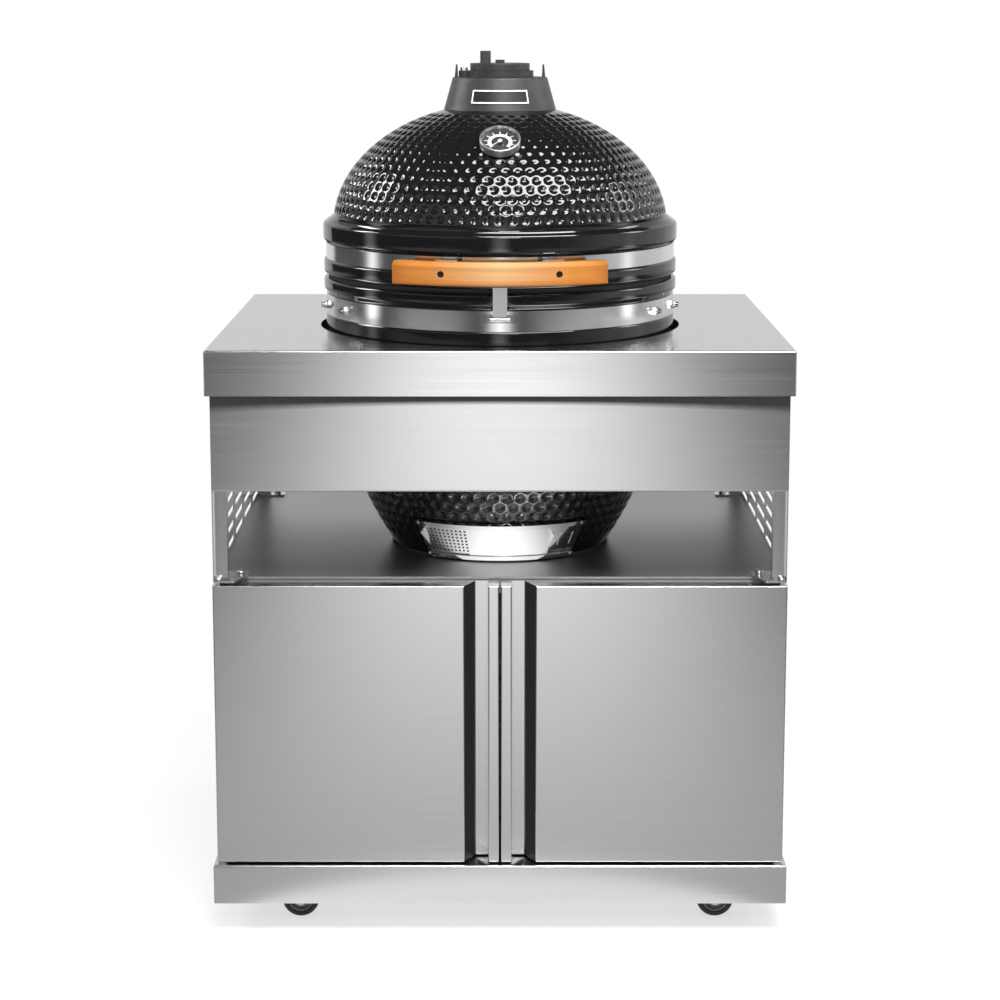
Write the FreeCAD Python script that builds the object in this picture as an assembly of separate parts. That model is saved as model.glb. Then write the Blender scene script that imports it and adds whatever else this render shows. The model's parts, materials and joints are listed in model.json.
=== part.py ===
import FreeCAD, Part
import math
import os

V = FreeCAD.Vector

# Driving dimensions in millimetres, +Z up, front towards -Y, origin on the floor below the middle

# Worktop and cabinet
TOP_WIDTH = 890.0
TOP_DEPTH = 725.0
TOP_HEIGHT = 915.0
TOP_SKIRT = 69.0
SHEET = 1.5
BEND_RADIUS = 3.0
HOLE_GAP = 9.5
HOLE_LIP = 20.0
TOP_OVERHANG = 7.5
FRONT_SETBACK = 8.0
FASCIA_HEIGHT = 162.0
FASCIA_LAP = 14.0
FASCIA_FLANGE = 12.0
POST_SIDE = 20.0
POST_SETBACK = 20.0
FOOT_PLATE_WIDTH = 48.0
FOOT_PLATE_DEPTH = 66.0
FOOT_PLATE_THICK = 3.0
FOOT_PLATE_CUT_X = 16.0
FOOT_PLATE_CUT_Y = 34.0
FOOT_PLATE_ROUND = 7.0
PLATE_BOLT_RADIUS = 4.0
PLATE_BOLT_HEAD = 6.5
PLATE_BOLT_HEIGHT = 4.5
PLATE_BOLT_ROUND = 2.8
BAY_HEIGHT = 358.5
DECK_FLANGE = 24.0
PANEL_FLANGE = 15.0
PLINTH_BOTTOM = 47.0
PLINTH_TOP = 108.0

# Slots in the vent panels
SLOT_LENGTH = 104.0
SLOT_HEIGHT = 9.0
SLOT_PITCH = 130.0
SLOT_COLUMNS = 5
SLOT_FIRST = 47.0
SLOT_ROW_FIRST = 12.0
SLOT_ROW_PITCH = 25.0
SLOT_ROWS = 5

# Doors
DOOR_OVERLAP = 1.5
DOOR_EDGE = 2.0
DOOR_MEETING_GAP = 3.0
DOOR_THICK = 38.0
DOOR_TOP_GAP = 4.9
DOOR_BOTTOM_GAP = 3.0
DOOR_BACK_GAP = 3.0
CHANNEL_MOUTH = 54.0
CHANNEL_FLOOR = 36.2
PULL_WIDTH = 16.5
PIVOT_INSET = 9.0
PIVOT_DEPTH = 5.5
PIVOT_RADIUS = 3.0
PIVOT_REACH = 14.0
PIVOT_BLOCK = 8.0
RUNNING_GAP = 0.05
MOVING_GAP = 0.3

# Castors
CASTOR_SIDE_INSET = 117.0
CASTOR_END_INSET = 75.0
CASTOR_TRAIL = 12.5
WHEEL_DIAMETER = 58.0
WHEEL_WIDTH = 22.0
TYRE_THICK = 9.0
AXLE_RADIUS = 4.0
AXLE_HEAD = 7.0
FORK_EYE = 8.8
FORK_SHEET = 2.5
FORK_SIDE_GAP = 3.0
FORK_TOP_GAP = 5.0
SWIVEL_RADIUS = 20.0
SWIVEL_HEIGHT = 8.0
KINGPIN_RADIUS = 5.0
CASTOR_PLATE_LENGTH = 72.0
CASTOR_PLATE_WIDTH = 56.0
CASTOR_PLATE_THICK = 3.0
RAIL_WIDTH = 80.0
RAIL_HEIGHT = 25.0
RAIL_END_GAP = 45.0

# Ceramic shells, turned about the grill's own upright axis
GRILL_SETBACK = 330.0
BELLY_RADIUS = 283.0
FOOT_RADIUS = 178.0
WALL = 25.0
SEAT_THICK = 3.0
SEAT_WIDTH = 40.0
BAND_SEAT_RADIUS = 281.0
BAND_THICK = 1.5
RIM_RADIUS = 286.0
RIM_ROUND = 5.0
LOWER_BAND_RISE = 22.0
LOWER_BAND_HEIGHT = 31.5
BASE_RIM_GAP = 9.5
BASE_RIM_HEIGHT = 17.0
GASKET_THICK = 3.0
GASKET_INSET = 2.0
LID_RIM_HEIGHT = 22.5
UPPER_BAND_HEIGHT = 24.0
BAND_LAND = 2.6
SHOULDER_RADIUS = 287.0
SHOULDER_GAP = 6.5
SHOULDER_HEIGHT = 25.0
SHOULDER_RISE = 13.0
DOME_RADIUS = 271.0
DOME_RISE = 198.0
DOME_SINK = 6.9
DOME_INSIDE_RISE = 4.0
FLUE_RADIUS = 58.0

# Fire box, ring and grates inside
FIRE_BOX_GAP = 14.0
FIRE_BOX_WALL = 18.0
FIRE_BOX_DROP = 125.0
FIRE_RING_DROP = 50.0
COAL_GRATE_RISE = 65.5
COAL_GRATE_GAP = 2.0
COOKING_GRATE_GAP = 4.5
GRATE_THICK = 6.0
GRATE_BAR = 7.0
GRATE_SLOT = 15.0
GRATE_RIM = 8.0

# Draft slide at the foot of the base
DRAFT_RISE = 6.5
DRAFT_HEIGHT = 63.0
DRAFT_HALF_ANGLE = 38.0
DRAFT_WINDOW_ANGLE = 12.0
DRAFT_PLATE = 2.0
DRAFT_STANDOFF = 1.4
SLIDE_THICK = 1.2
SLIDE_GAP = 0.3
RAIL_LIP = 7.0
SLIDE_LAP = 4.0
TAB_REACH = 9.0
TAB_HEIGHT = 34.0
DRAFT_SCREW_RADIUS = 3.2
DRAFT_SCREW_HEIGHT = 1.8
DRAFT_SCREW_ANGLE = 36.5
DOOR_FROM_ANGLE = -14.5
DOOR_TO_ANGLE = 23.0
SCREEN_FROM_ANGLE = -35.0
SCREEN_TO_ANGLE = 2.0
SCREEN_MARGIN_ANGLE = 1.5
SCREEN_HOLE = 3.0
SCREEN_COLUMNS = 18
SCREEN_ROWS = 7

# Handle, bracket and latch
HANDLE_FRONT_RADIUS = 328.0
HANDLE_THICK = 24.0
HANDLE_RISE = 9.7
HANDLE_HEIGHT = 35.0
HANDLE_CHAMFER = 6.0
HANDLE_CHORD = 327.0
HANDLE_END_ROUND = 1.6
HANDLE_SCREW_SPAN = 178.0
HANDLE_SCREW_RADIUS = 5.0
BRACKET_THICK = 2.5
BRACKET_HEIGHT = 16.0
BRACKET_DROP = 1.5
BRACKET_HALF_ANGLE = 17.5
ARM_ANGLE = 4.0
TAB_ANGLE = 6.5
LATCH_WIDTH = 21.6
LATCH_THICK = 2.5
LATCH_TOP_GAP = 5.0
LATCH_BRACKET_WIDTH = 52.0
LATCH_BRACKET_HEIGHT = 13.0
LATCH_PIN_RISE = 20.0
LATCH_PIN_RADIUS = 2.5
LATCH_EAR = 4.0
LATCH_STANDOFF = 5.8
LATCH_SCREW_RADIUS = 3.0
LATCH_SCREW_HEIGHT = 2.0
LATCH_SCREW_ANGLE = 4.2

# Lid hinge at the back
HINGE_RADIUS = 318.0
HINGE_RISE = 5.0
HINGE_PIN_RADIUS = 5.0
HINGE_EYE = 12.0
HINGE_PIN_HEAD = 8.4
HINGE_EAR_THICK = 5.0
HINGE_EAR_SPREAD = 90.0
HINGE_STRAP = 3.0

# Bolts on the lower band
BAND_BOLT_ANGLES = (59.0, 77.0)
BAND_BOLT_RADIUS = 4.0
BAND_NUT_RADIUS = 7.0
BAND_NUT_HEIGHT = 6.5
BAND_BOLT_REACH = 12.0

# Cast-iron cap with swing disc and daisy wheel
CAP_BASE_RADIUS = 90.5
CAP_TOP_RADIUS = 76.0
CAP_RISE = 41.0
CAP_ROUND = 3.0
CAP_WALL = 7.0
CAP_PLATE = 6.0
CAP_MOUTH = 43.0
HORN_HEIGHT = 20.0
HORN_THICK = 5.5
HORN_TIP = 2.5
HORN_WIDTH = 10.0
HORN_LEAN = 2.0
DISC_RADIUS = 54.0
DISC_THICK = 10.0
DISC_PIVOT = 58.0
DISC_EAR = 8.5
DISC_NECK = 38.0
DISC_PIN_RADIUS = 4.0
DISC_BOLT_HEAD = 6.0
WHEEL_PLATE_RADIUS = 48.0
WHEEL_PLATE_THICK = 11.5
WHEEL_PLATE_ROUND = 1.5
DAISY_HOLES = 5
DAISY_HOLE_RADIUS = 9.0
DAISY_HOLE_CIRCLE = 29.0
DAISY_SCREW_HEAD = 7.5
DAISY_SCREW_HEIGHT = 5.0
KNOB_RADIUS = 8.5
KNOB_HEIGHT = 19.5
KNOB_CIRCLE = 36.0
KNOB_ANGLE = -130.0

# Thermometer
THERMO_AT_RADIUS = 191.0
THERMO_RADIUS = 31.5
THERMO_DEPTH = 13.0
THERMO_RIM = 3.0
THERMO_EDGE = 1.2
THERMO_FLOOR = 4.0
THERMO_STEM_RADIUS = 4.0
THERMO_STEM = 75.0
THERMO_HOLE_GAP = 0.5
NEEDLE_PIN_RADIUS = 1.5
NEEDLE_HUB = 3.5
NEEDLE_LENGTH = 21.0
NEEDLE_THICK = 1.0
NEEDLE_REST = -45.0
GLASS_THICK = 1.5

# How far a cutting shape runs past the piece that it cuts
PAST = 1.0

# Places worked out from the sizes above
FRONT = -TOP_DEPTH / 2
BODY_FRONT = FRONT + FRONT_SETBACK
BODY_HALF = TOP_WIDTH / 2 - TOP_OVERHANG
SKIN_INSIDE = BODY_HALF - SHEET
TOP_UNDERSIDE = TOP_HEIGHT - SHEET
SKIRT_BOTTOM = TOP_HEIGHT - TOP_SKIRT
FASCIA_TOP = SKIRT_BOTTOM + FASCIA_LAP
FASCIA_BOTTOM = FASCIA_TOP - FASCIA_HEIGHT
DECK_HEIGHT = TOP_HEIGHT - BAY_HEIGHT
PLATE_TOP = DECK_HEIGHT + FOOT_PLATE_THICK
POST_FRONT = FRONT + POST_SETBACK
DOOR_BACK = BODY_FRONT + DOOR_THICK
CARCASS_FRONT = DOOR_BACK + DOOR_BACK_GAP
DOOR_BOTTOM = PLINTH_TOP + DOOR_BOTTOM_GAP
DOOR_TOP = DECK_HEIGHT - DOOR_TOP_GAP
DOOR_INNER = DOOR_MEETING_GAP / 2
DOOR_OUTER = BODY_HALF + DOOR_OVERLAP
PIVOT_X = DOOR_OUTER - PIVOT_INSET
PIVOT_Y = BODY_FRONT + PIVOT_DEPTH
GRILL_Y = FRONT + GRILL_SETBACK
HOLE_RADIUS = BELLY_RADIUS + HOLE_GAP
SHELL_FOOT = DECK_HEIGHT + SEAT_THICK
BELLY_ARC = ((BELLY_RADIUS - FOOT_RADIUS) ** 2 + (TOP_HEIGHT - SHELL_FOOT) ** 2) / (
    2 * (BELLY_RADIUS - FOOT_RADIUS))
SHELL_FLOOR = SHELL_FOOT + WALL
LOWER_BAND_BOTTOM = TOP_HEIGHT + LOWER_BAND_RISE
LOWER_BAND_TOP = LOWER_BAND_BOTTOM + LOWER_BAND_HEIGHT
BASE_RIM_BOTTOM = LOWER_BAND_TOP + BASE_RIM_GAP
BASE_RIM_TOP = BASE_RIM_BOTTOM + BASE_RIM_HEIGHT
LID_BOTTOM = BASE_RIM_TOP + 2 * GASKET_THICK + MOVING_GAP
UPPER_BAND_BOTTOM = LID_BOTTOM + LID_RIM_HEIGHT + BAND_LAND
UPPER_BAND_TOP = UPPER_BAND_BOTTOM + UPPER_BAND_HEIGHT
SHOULDER_BOTTOM = UPPER_BAND_TOP + SHOULDER_GAP
SHOULDER_TOP = SHOULDER_BOTTOM + SHOULDER_HEIGHT
DOME_CENTRE = SHOULDER_TOP - DOME_SINK
CAP_TOP = DOME_CENTRE + DOME_RISE + CAP_RISE
BAND_RADIUS = BAND_SEAT_RADIUS + BAND_THICK
FIRE_BOX_TOP = TOP_HEIGHT - FIRE_BOX_DROP
FIRE_RING_TOP = BASE_RIM_TOP - FIRE_RING_DROP
COAL_GRATE_HEIGHT = SHELL_FLOOR + COAL_GRATE_RISE
DRAFT_BOTTOM = DECK_HEIGHT + DRAFT_RISE
DRAFT_TOP = DRAFT_BOTTOM + DRAFT_HEIGHT
HANDLE_BOTTOM = LID_BOTTOM + HANDLE_RISE
LATCH_PIN_HEIGHT = LOWER_BAND_BOTTOM + LATCH_PIN_RISE
HINGE_Y = GRILL_Y + HINGE_RADIUS
HINGE_HEIGHT = BASE_RIM_TOP + HINGE_RISE
HANDLE_BACK_RADIUS = HANDLE_FRONT_RADIUS - HANDLE_THICK
RAIL_BOTTOM = PLINTH_TOP - SHEET - RAIL_HEIGHT
RAIL_HALF = TOP_WIDTH / 2 - RAIL_END_GAP
CASTOR_X = TOP_WIDTH / 2 - CASTOR_SIDE_INSET
WHEEL_RADIUS = WHEEL_DIAMETER / 2
SWIVEL_TOP = RAIL_BOTTOM - CASTOR_PLATE_THICK - MOVING_GAP


def block(x0, x1, y0, y1, z0, z1):
    return Part.makeBox(x1 - x0, y1 - y0, z1 - z0, V(x0, y0, z0))


def rod(x, y, z, radius, length, axis=V(0, 0, 1)):
    return Part.makeCylinder(radius, length, V(x, y, z), axis)


def hexagon(x, y, z, radius, height):
    turns = [math.radians(60 * i) for i in range(7)]
    corners = [V(x + radius * math.cos(a), y + radius * math.sin(a), z) for a in turns]
    return Part.Face(Part.makePolygon(corners)).extrude(V(0, 0, height))


def round_head(x, y, z, radius):
    """The domed head of a bolt that stands on a plate."""
    head = rod(x, y, z, radius, PLATE_BOLT_HEIGHT)
    rim = [e for e in head.Edges if e.BoundBox.ZMin > z + PLATE_BOLT_HEIGHT / 2]
    return head.makeFillet(PLATE_BOLT_ROUND, rim)


def plan_prism(points, z0, z1):
    corners = [V(x, y, z0) for x, y in points]
    return Part.Face(Part.makePolygon(corners + corners[:1])).extrude(V(0, 0, z1 - z0))


def side_prism(points, x0, x1):
    corners = [V(x0, y, z) for y, z in points]
    return Part.Face(Part.makePolygon(corners + corners[:1])).extrude(V(x1 - x0, 0, 0))


def front_prism(points, y0, y1):
    corners = [V(x, y0, z) for x, z in points]
    return Part.Face(Part.makePolygon(corners + corners[:1])).extrude(V(0, y1 - y0, 0))


def mirrored(shape):
    return shape.mirror(V(0, 0, 0), V(1, 0, 0))


def joined(shapes):
    return shapes[0].multiFuse(shapes[1:]).removeSplitter()


def line(start, end):
    return Part.makeLine(V(start[0], start[1], 0), V(end[0], end[1], 0))


def path(points):
    return [line(a, b) for a, b in zip(points, points[1:])]


def rounded_path(points, radius):
    """Straight edges through the points, with an arc at each corner between the two ends."""
    edges = []
    start = V(*points[0], 0)
    for at, after in zip(points[1:], points[2:]):
        corner, onward = V(*at, 0), V(*after, 0)
        back = (start - corner).normalize()
        ahead = (onward - corner).normalize()
        half = back.getAngle(ahead) / 2
        reach = min(radius / math.tan(half), (onward - corner).Length / 3, (start - corner).Length / 2)
        middle = (back + ahead).normalize() * (reach / math.cos(half) - reach * math.tan(half))
        arc = Part.Arc(corner + back * reach, corner + middle, corner + ahead * reach)
        edges += [Part.makeLine(start, corner + back * reach), arc.toShape()]
        start = corner + ahead * reach
    return edges + [Part.makeLine(start, V(*points[-1], 0))]


def turned(edges, start=0.0, end=360.0):
    """Turns a half section in (radius, height) about the grill's axis, from the front towards +X."""
    face = Part.Face(Part.Wire(Part.__sortEdges__(edges)))
    face.rotate(V(0, 0, 0), V(1, 0, 0), 90)
    face.rotate(V(0, 0, 0), V(0, 0, 1), start - 90)
    solid = face.revolve(V(0, 0, 0), V(0, 0, 1), end - start)
    solid.translate(V(0, GRILL_Y, 0))
    return solid


def ring(inner, outer, z0, z1, start=0.0, end=360.0):
    corners = [(inner, z0), (outer, z0), (outer, z1), (inner, z1)]
    return turned(path(corners + corners[:1]), start, end)


def on_grill(shape, angle):
    """Turns a piece made at the front of the grill round to another angle."""
    return shape.rotated(V(0, GRILL_Y, 0), V(0, 0, 1), angle)


def belly_arc(offset, low, high):
    """The base's side curve, moved in by offset, between two heights."""
    centre = V(BELLY_RADIUS - BELLY_ARC, TOP_HEIGHT, 0)
    circle = Part.Circle(centre, V(0, 0, 1), BELLY_ARC - offset)
    drop = [math.asin((z - TOP_HEIGHT) / (BELLY_ARC - offset)) for z in (low, high)]
    return Part.ArcOfCircle(circle, drop[0], drop[1]).toShape()


def belly_radius(offset, z):
    reach = BELLY_ARC - offset
    return BELLY_RADIUS - BELLY_ARC + math.sqrt(reach ** 2 - (TOP_HEIGHT - z) ** 2)


def dome_height(radius, offset=0.0):
    a = DOME_RADIUS - offset
    return DOME_CENTRE + (DOME_RISE - offset) * math.sqrt(1 - (radius / a) ** 2)


def dome_radius(z, offset=0.0):
    b = DOME_RISE - offset
    return (DOME_RADIUS - offset) * math.sqrt(1 - ((z - DOME_CENTRE) / b) ** 2)


def dome_arc(offset, outer, inner):
    """The dome's elliptic curve between two radii."""
    a = DOME_RADIUS - offset
    oval = Part.Ellipse(V(0, DOME_CENTRE, 0), a, DOME_RISE - offset)
    return Part.ArcOfEllipse(oval, math.acos(outer / a), math.acos(inner / a)).toShape()


def folded_tray(width, depth, top, skirt):
    """A sheet with its four edges folded down."""
    outer = block(-width / 2, width / 2, -depth / 2, depth / 2, top - skirt, top)
    bends = [e for e in outer.Edges if e.CenterOfMass.z > top - skirt + SHEET]
    outer = outer.makeFillet(BEND_RADIUS, bends)
    inner = block(-width / 2 + SHEET, width / 2 - SHEET, -depth / 2 + SHEET, depth / 2 - SHEET,
                  top - skirt - SHEET, top - SHEET)
    return outer.cut(inner)


def make_worktop():
    tray = folded_tray(TOP_WIDTH, TOP_DEPTH, TOP_HEIGHT, TOP_SKIRT)
    hole = rod(0, GRILL_Y, TOP_HEIGHT - TOP_SKIRT, HOLE_RADIUS, TOP_SKIRT + SHEET)
    lip = ring(HOLE_RADIUS, HOLE_RADIUS + SHEET, TOP_HEIGHT - HOLE_LIP, TOP_UNDERSIDE)
    return {"worktop": joined([tray.cut(hole), lip])}


def make_fascias():
    """A channel bent from sheet, its flanges cut short of the vent panels."""
    front = block(-BODY_HALF, BODY_HALF, BODY_FRONT, BODY_FRONT + FASCIA_FLANGE, FASCIA_BOTTOM, FASCIA_TOP)
    bends = [e for e in front.Edges if abs(e.CenterOfMass.x) < PAST and e.CenterOfMass.y < BODY_FRONT + PAST]
    front = front.makeFillet(BEND_RADIUS, bends)
    inside = block(-BODY_HALF, BODY_HALF, BODY_FRONT + SHEET, BODY_FRONT + FASCIA_FLANGE,
                   FASCIA_BOTTOM + SHEET, FASCIA_TOP - SHEET)
    relief = block(SKIN_INSIDE, BODY_HALF, BODY_FRONT + SHEET, BODY_FRONT + FASCIA_FLANGE, FASCIA_BOTTOM,
                   FASCIA_TOP)
    front = front.cut(Part.makeCompound([inside, relief, mirrored(relief)]))
    return {"front_fascia": front, "rear_fascia": front.mirror(V(0, 0, 0), V(0, 1, 0))}


def make_vent_panels():
    y0 = BODY_FRONT + SHEET
    panel = block(SKIN_INSIDE, BODY_HALF, y0, -y0, DECK_HEIGHT, FASCIA_TOP)
    slots = []
    end = SLOT_HEIGHT / 2
    for column in range(SLOT_COLUMNS):
        near = FRONT + SLOT_FIRST + column * SLOT_PITCH
        for row in range(SLOT_ROWS):
            z = DECK_HEIGHT + SLOT_ROW_FIRST + row * SLOT_ROW_PITCH
            far = near + SLOT_LENGTH
            slots.append(joined([
                block(SKIN_INSIDE - PAST, BODY_HALF + PAST, near + end, far - end, z - end, z + end),
                rod(SKIN_INSIDE - PAST, near + end, z, end, SHEET + 2 * PAST, V(1, 0, 0)),
                rod(SKIN_INSIDE - PAST, far - end, z, end, SHEET + 2 * PAST, V(1, 0, 0))]))
    panel = panel.cut(Part.makeCompound(slots))
    return {"right_vent_panel": panel, "left_vent_panel": mirrored(panel)}


def make_posts():
    post_rear = POST_FRONT + POST_SIDE
    tube = block(SKIN_INSIDE - POST_SIDE, SKIN_INSIDE, POST_FRONT, post_rear, DECK_HEIGHT, TOP_UNDERSIDE)
    tube = tube.cut(block(SKIN_INSIDE - POST_SIDE + SHEET, SKIN_INSIDE - SHEET, POST_FRONT + SHEET,
                          post_rear - SHEET, PLATE_TOP, TOP_UNDERSIDE + PAST))
    inner = SKIN_INSIDE - FOOT_PLATE_WIDTH
    rear = FRONT + FRONT_SETBACK + FOOT_PLATE_DEPTH
    outline = [(SKIN_INSIDE, BODY_FRONT), (inner + FOOT_PLATE_CUT_X, BODY_FRONT),
               (inner, BODY_FRONT + FOOT_PLATE_CUT_Y), (inner, rear), (SKIN_INSIDE, rear)]
    plate = plan_prism(outline, DECK_HEIGHT, PLATE_TOP)
    corners = [e for e in plate.Edges if e.Length < FOOT_PLATE_THICK + PAST
               and e.CenterOfMass.x < SKIN_INSIDE - PAST]
    plate = plate.makeFillet(FOOT_PLATE_ROUND, corners)
    bolt_x = inner + 2 * PLATE_BOLT_HEAD
    bolt_y = rear - 2 * PLATE_BOLT_HEAD
    hole = rod(bolt_x, bolt_y, DECK_HEIGHT - PAST, PLATE_BOLT_RADIUS, FOOT_PLATE_THICK + 2 * PAST)
    post = joined([tube, plate]).cut(hole)
    pin_hole = rod(PIVOT_X, PIVOT_Y, DECK_HEIGHT - PAST, PIVOT_RADIUS, FOOT_PLATE_THICK + 2 * PAST)
    front_right = post.cut(pin_hole)
    rear_right = post.mirror(V(0, 0, 0), V(0, 1, 0))
    bolts = []
    for side in (-1, 1):
        for end in (-1, 1):
            x, y = side * bolt_x, end * bolt_y
            head = round_head(x, y, PLATE_TOP, PLATE_BOLT_HEAD)
            shank = rod(x, y, DECK_HEIGHT - SHEET - PLATE_BOLT_HEIGHT, PLATE_BOLT_RADIUS,
                        PLATE_TOP - DECK_HEIGHT + SHEET + PLATE_BOLT_HEIGHT)
            bolts.append(joined([head, shank]))
    deck_holes = [rod(side * bolt_x, end * bolt_y, DECK_HEIGHT - 2 * SHEET, PLATE_BOLT_RADIUS, 3 * SHEET)
                  for side in (-1, 1) for end in (-1, 1)]
    nodes = {"front_right_post": front_right, "front_left_post": mirrored(front_right),
             "rear_right_post": rear_right, "rear_left_post": mirrored(rear_right),
             "foot_plate_bolts": Part.makeCompound(bolts)}
    return nodes, deck_holes


def make_carcass(deck_holes):
    rear = -BODY_FRONT - SHEET
    under = DECK_HEIGHT - SHEET
    deck = joined([
        block(-BODY_HALF, BODY_HALF, CARCASS_FRONT, -BODY_FRONT, under, DECK_HEIGHT),
        block(-SKIN_INSIDE + PANEL_FLANGE, SKIN_INSIDE - PANEL_FLANGE, CARCASS_FRONT,
              CARCASS_FRONT + SHEET, under - DECK_FLANGE, under)])
    deck = deck.cut(Part.makeCompound(deck_holes))
    side = joined([
        block(SKIN_INSIDE, BODY_HALF, CARCASS_FRONT, rear, PLINTH_TOP, under),
        block(BODY_HALF - PANEL_FLANGE, BODY_HALF, CARCASS_FRONT, CARCASS_FRONT + SHEET, PLINTH_TOP, under),
        block(BODY_HALF - PANEL_FLANGE, BODY_HALF, CARCASS_FRONT, rear, PLINTH_TOP, PLINTH_TOP + SHEET)])
    back = block(-BODY_HALF, BODY_HALF, rear, -BODY_FRONT, PLINTH_TOP, under)
    plinth = folded_tray(TOP_WIDTH, TOP_DEPTH, PLINTH_TOP, PLINTH_TOP - PLINTH_BOTTOM)
    pins = [rod(s * PIVOT_X, PIVOT_Y, PLINTH_TOP - 2 * SHEET, PIVOT_RADIUS, 3 * SHEET) for s in (-1, 1)]
    return {"deck": deck, "right_side_panel": side, "left_side_panel": mirrored(side),
            "back_panel": back, "plinth": plinth.cut(Part.makeCompound(pins))}


def make_doors():
    """The left edge of the outline is the meeting edge, depths run back from the door's face."""
    near, far = BODY_FRONT, DOOR_BACK
    skin_back = far - SHEET
    floor = skin_back - SHEET
    bar = DOOR_INNER + PULL_WIDTH
    mouth = DOOR_INNER + CHANNEL_MOUTH
    foot = DOOR_INNER + CHANNEL_FLOOR
    outline = [(DOOR_OUTER, near), (mouth, near), (foot, floor), (bar, floor), (bar, near),
               (DOOR_INNER, near), (DOOR_INNER, skin_back), (DOOR_OUTER, skin_back)]
    skin = plan_prism(outline, DOOR_BOTTOM, DOOR_TOP)
    face_edges = [e for e in skin.Edges if all(v.Y < near + PAST for v in e.Vertexes)]
    skin = skin.makeFillet(DOOR_EDGE, face_edges)
    lean = (mouth - foot) / (floor - near)
    side_step = SHEET * math.sqrt(1 + lean ** 2)
    cavity_mouth = mouth + side_step - lean * SHEET
    cavity_foot = mouth + side_step - lean * (skin_back - near)
    z0, z1 = DOOR_BOTTOM + SHEET, DOOR_TOP - SHEET
    main = plan_prism([(DOOR_OUTER - SHEET, near + SHEET), (cavity_mouth, near + SHEET),
                       (cavity_foot, skin_back), (DOOR_OUTER - SHEET, skin_back)], z0, z1)
    pull = block(DOOR_INNER + SHEET, bar - SHEET, near + SHEET, skin_back, z0, z1)
    skin = skin.cut(Part.makeCompound([main, pull]))
    blocks = [block(PIVOT_X - PIVOT_BLOCK, DOOR_OUTER - SHEET, near + SHEET, PIVOT_Y + PIVOT_BLOCK, z,
                    z + PIVOT_REACH)
              for z in (z0, z1 - PIVOT_REACH)]
    bore_length = PIVOT_REACH + SHEET + MOVING_GAP
    bores = [rod(PIVOT_X, PIVOT_Y, z, PIVOT_RADIUS + RUNNING_GAP, bore_length)
             for z in (DOOR_BOTTOM - MOVING_GAP, DOOR_TOP + MOVING_GAP - bore_length)]
    skin = joined([skin] + blocks).cut(Part.makeCompound(bores))
    liner = block(DOOR_INNER, DOOR_OUTER, skin_back, far, DOOR_BOTTOM, DOOR_TOP)
    corners = [e for e in liner.Edges if e.Length < SHEET + PAST]
    liner = liner.makeFillet(BEND_RADIUS, corners)
    pins = []
    for side in (-1, 1):
        x = side * PIVOT_X
        lower = rod(x, PIVOT_Y, PLINTH_TOP - SHEET, PIVOT_RADIUS, SHEET + DOOR_BOTTOM_GAP + PIVOT_REACH)
        collar = rod(x, PIVOT_Y, PLINTH_TOP, 2 * PIVOT_RADIUS, DOOR_BOTTOM_GAP - MOVING_GAP)
        upper = rod(x, PIVOT_Y, DOOR_TOP - PIVOT_REACH, PIVOT_RADIUS, PLATE_TOP - DOOR_TOP + PIVOT_REACH)
        head = round_head(x, PIVOT_Y, PLATE_TOP, PIVOT_DEPTH)
        pins += [joined([lower, collar]), joined([upper, head])]
    return {"right_door_skin": skin, "left_door_skin": mirrored(skin), "right_door_liner": liner,
            "left_door_liner": mirrored(liner), "door_pivot_pins": Part.makeCompound(pins)}


def make_fork(x, y):
    inside = WHEEL_WIDTH / 2 + FORK_SIDE_GAP
    outside = inside + FORK_SHEET
    bridge_top = SWIVEL_TOP - SWIVEL_HEIGHT
    bridge = WHEEL_DIAMETER + FORK_TOP_GAP
    eye = FORK_EYE
    axle_x = x + CASTOR_TRAIL
    leg = [(x - SWIVEL_RADIUS, bridge_top), (x - SWIVEL_RADIUS, bridge), (axle_x - eye, WHEEL_RADIUS),
           (axle_x + eye, WHEEL_RADIUS), (x + SWIVEL_RADIUS + CASTOR_TRAIL, bridge),
           (x + SWIVEL_RADIUS, bridge_top)]
    pieces = [block(x - SWIVEL_RADIUS, x + SWIVEL_RADIUS, y - outside, y + outside, bridge, bridge_top),
              rod(x, y, bridge_top, SWIVEL_RADIUS, SWIVEL_HEIGHT),
              rod(x, y, bridge, KINGPIN_RADIUS, RAIL_BOTTOM + 3 * SHEET - bridge)]
    for face in (-outside, inside):
        pieces.append(front_prism(leg, y + face, y + face + FORK_SHEET))
        pieces.append(rod(axle_x, y + face, WHEEL_RADIUS, eye, FORK_SHEET, V(0, 1, 0)))
    axle = joined([
        rod(axle_x, y - outside, WHEEL_RADIUS, AXLE_RADIUS, 2 * outside, V(0, 1, 0)),
        rod(axle_x, y - outside - FORK_SHEET, WHEEL_RADIUS, AXLE_HEAD, FORK_SHEET, V(0, 1, 0)),
        rod(axle_x, y + outside, WHEEL_RADIUS, AXLE_HEAD, FORK_SHEET, V(0, 1, 0))])
    return Part.makeCompound([joined(pieces).cut(axle), axle])


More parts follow.
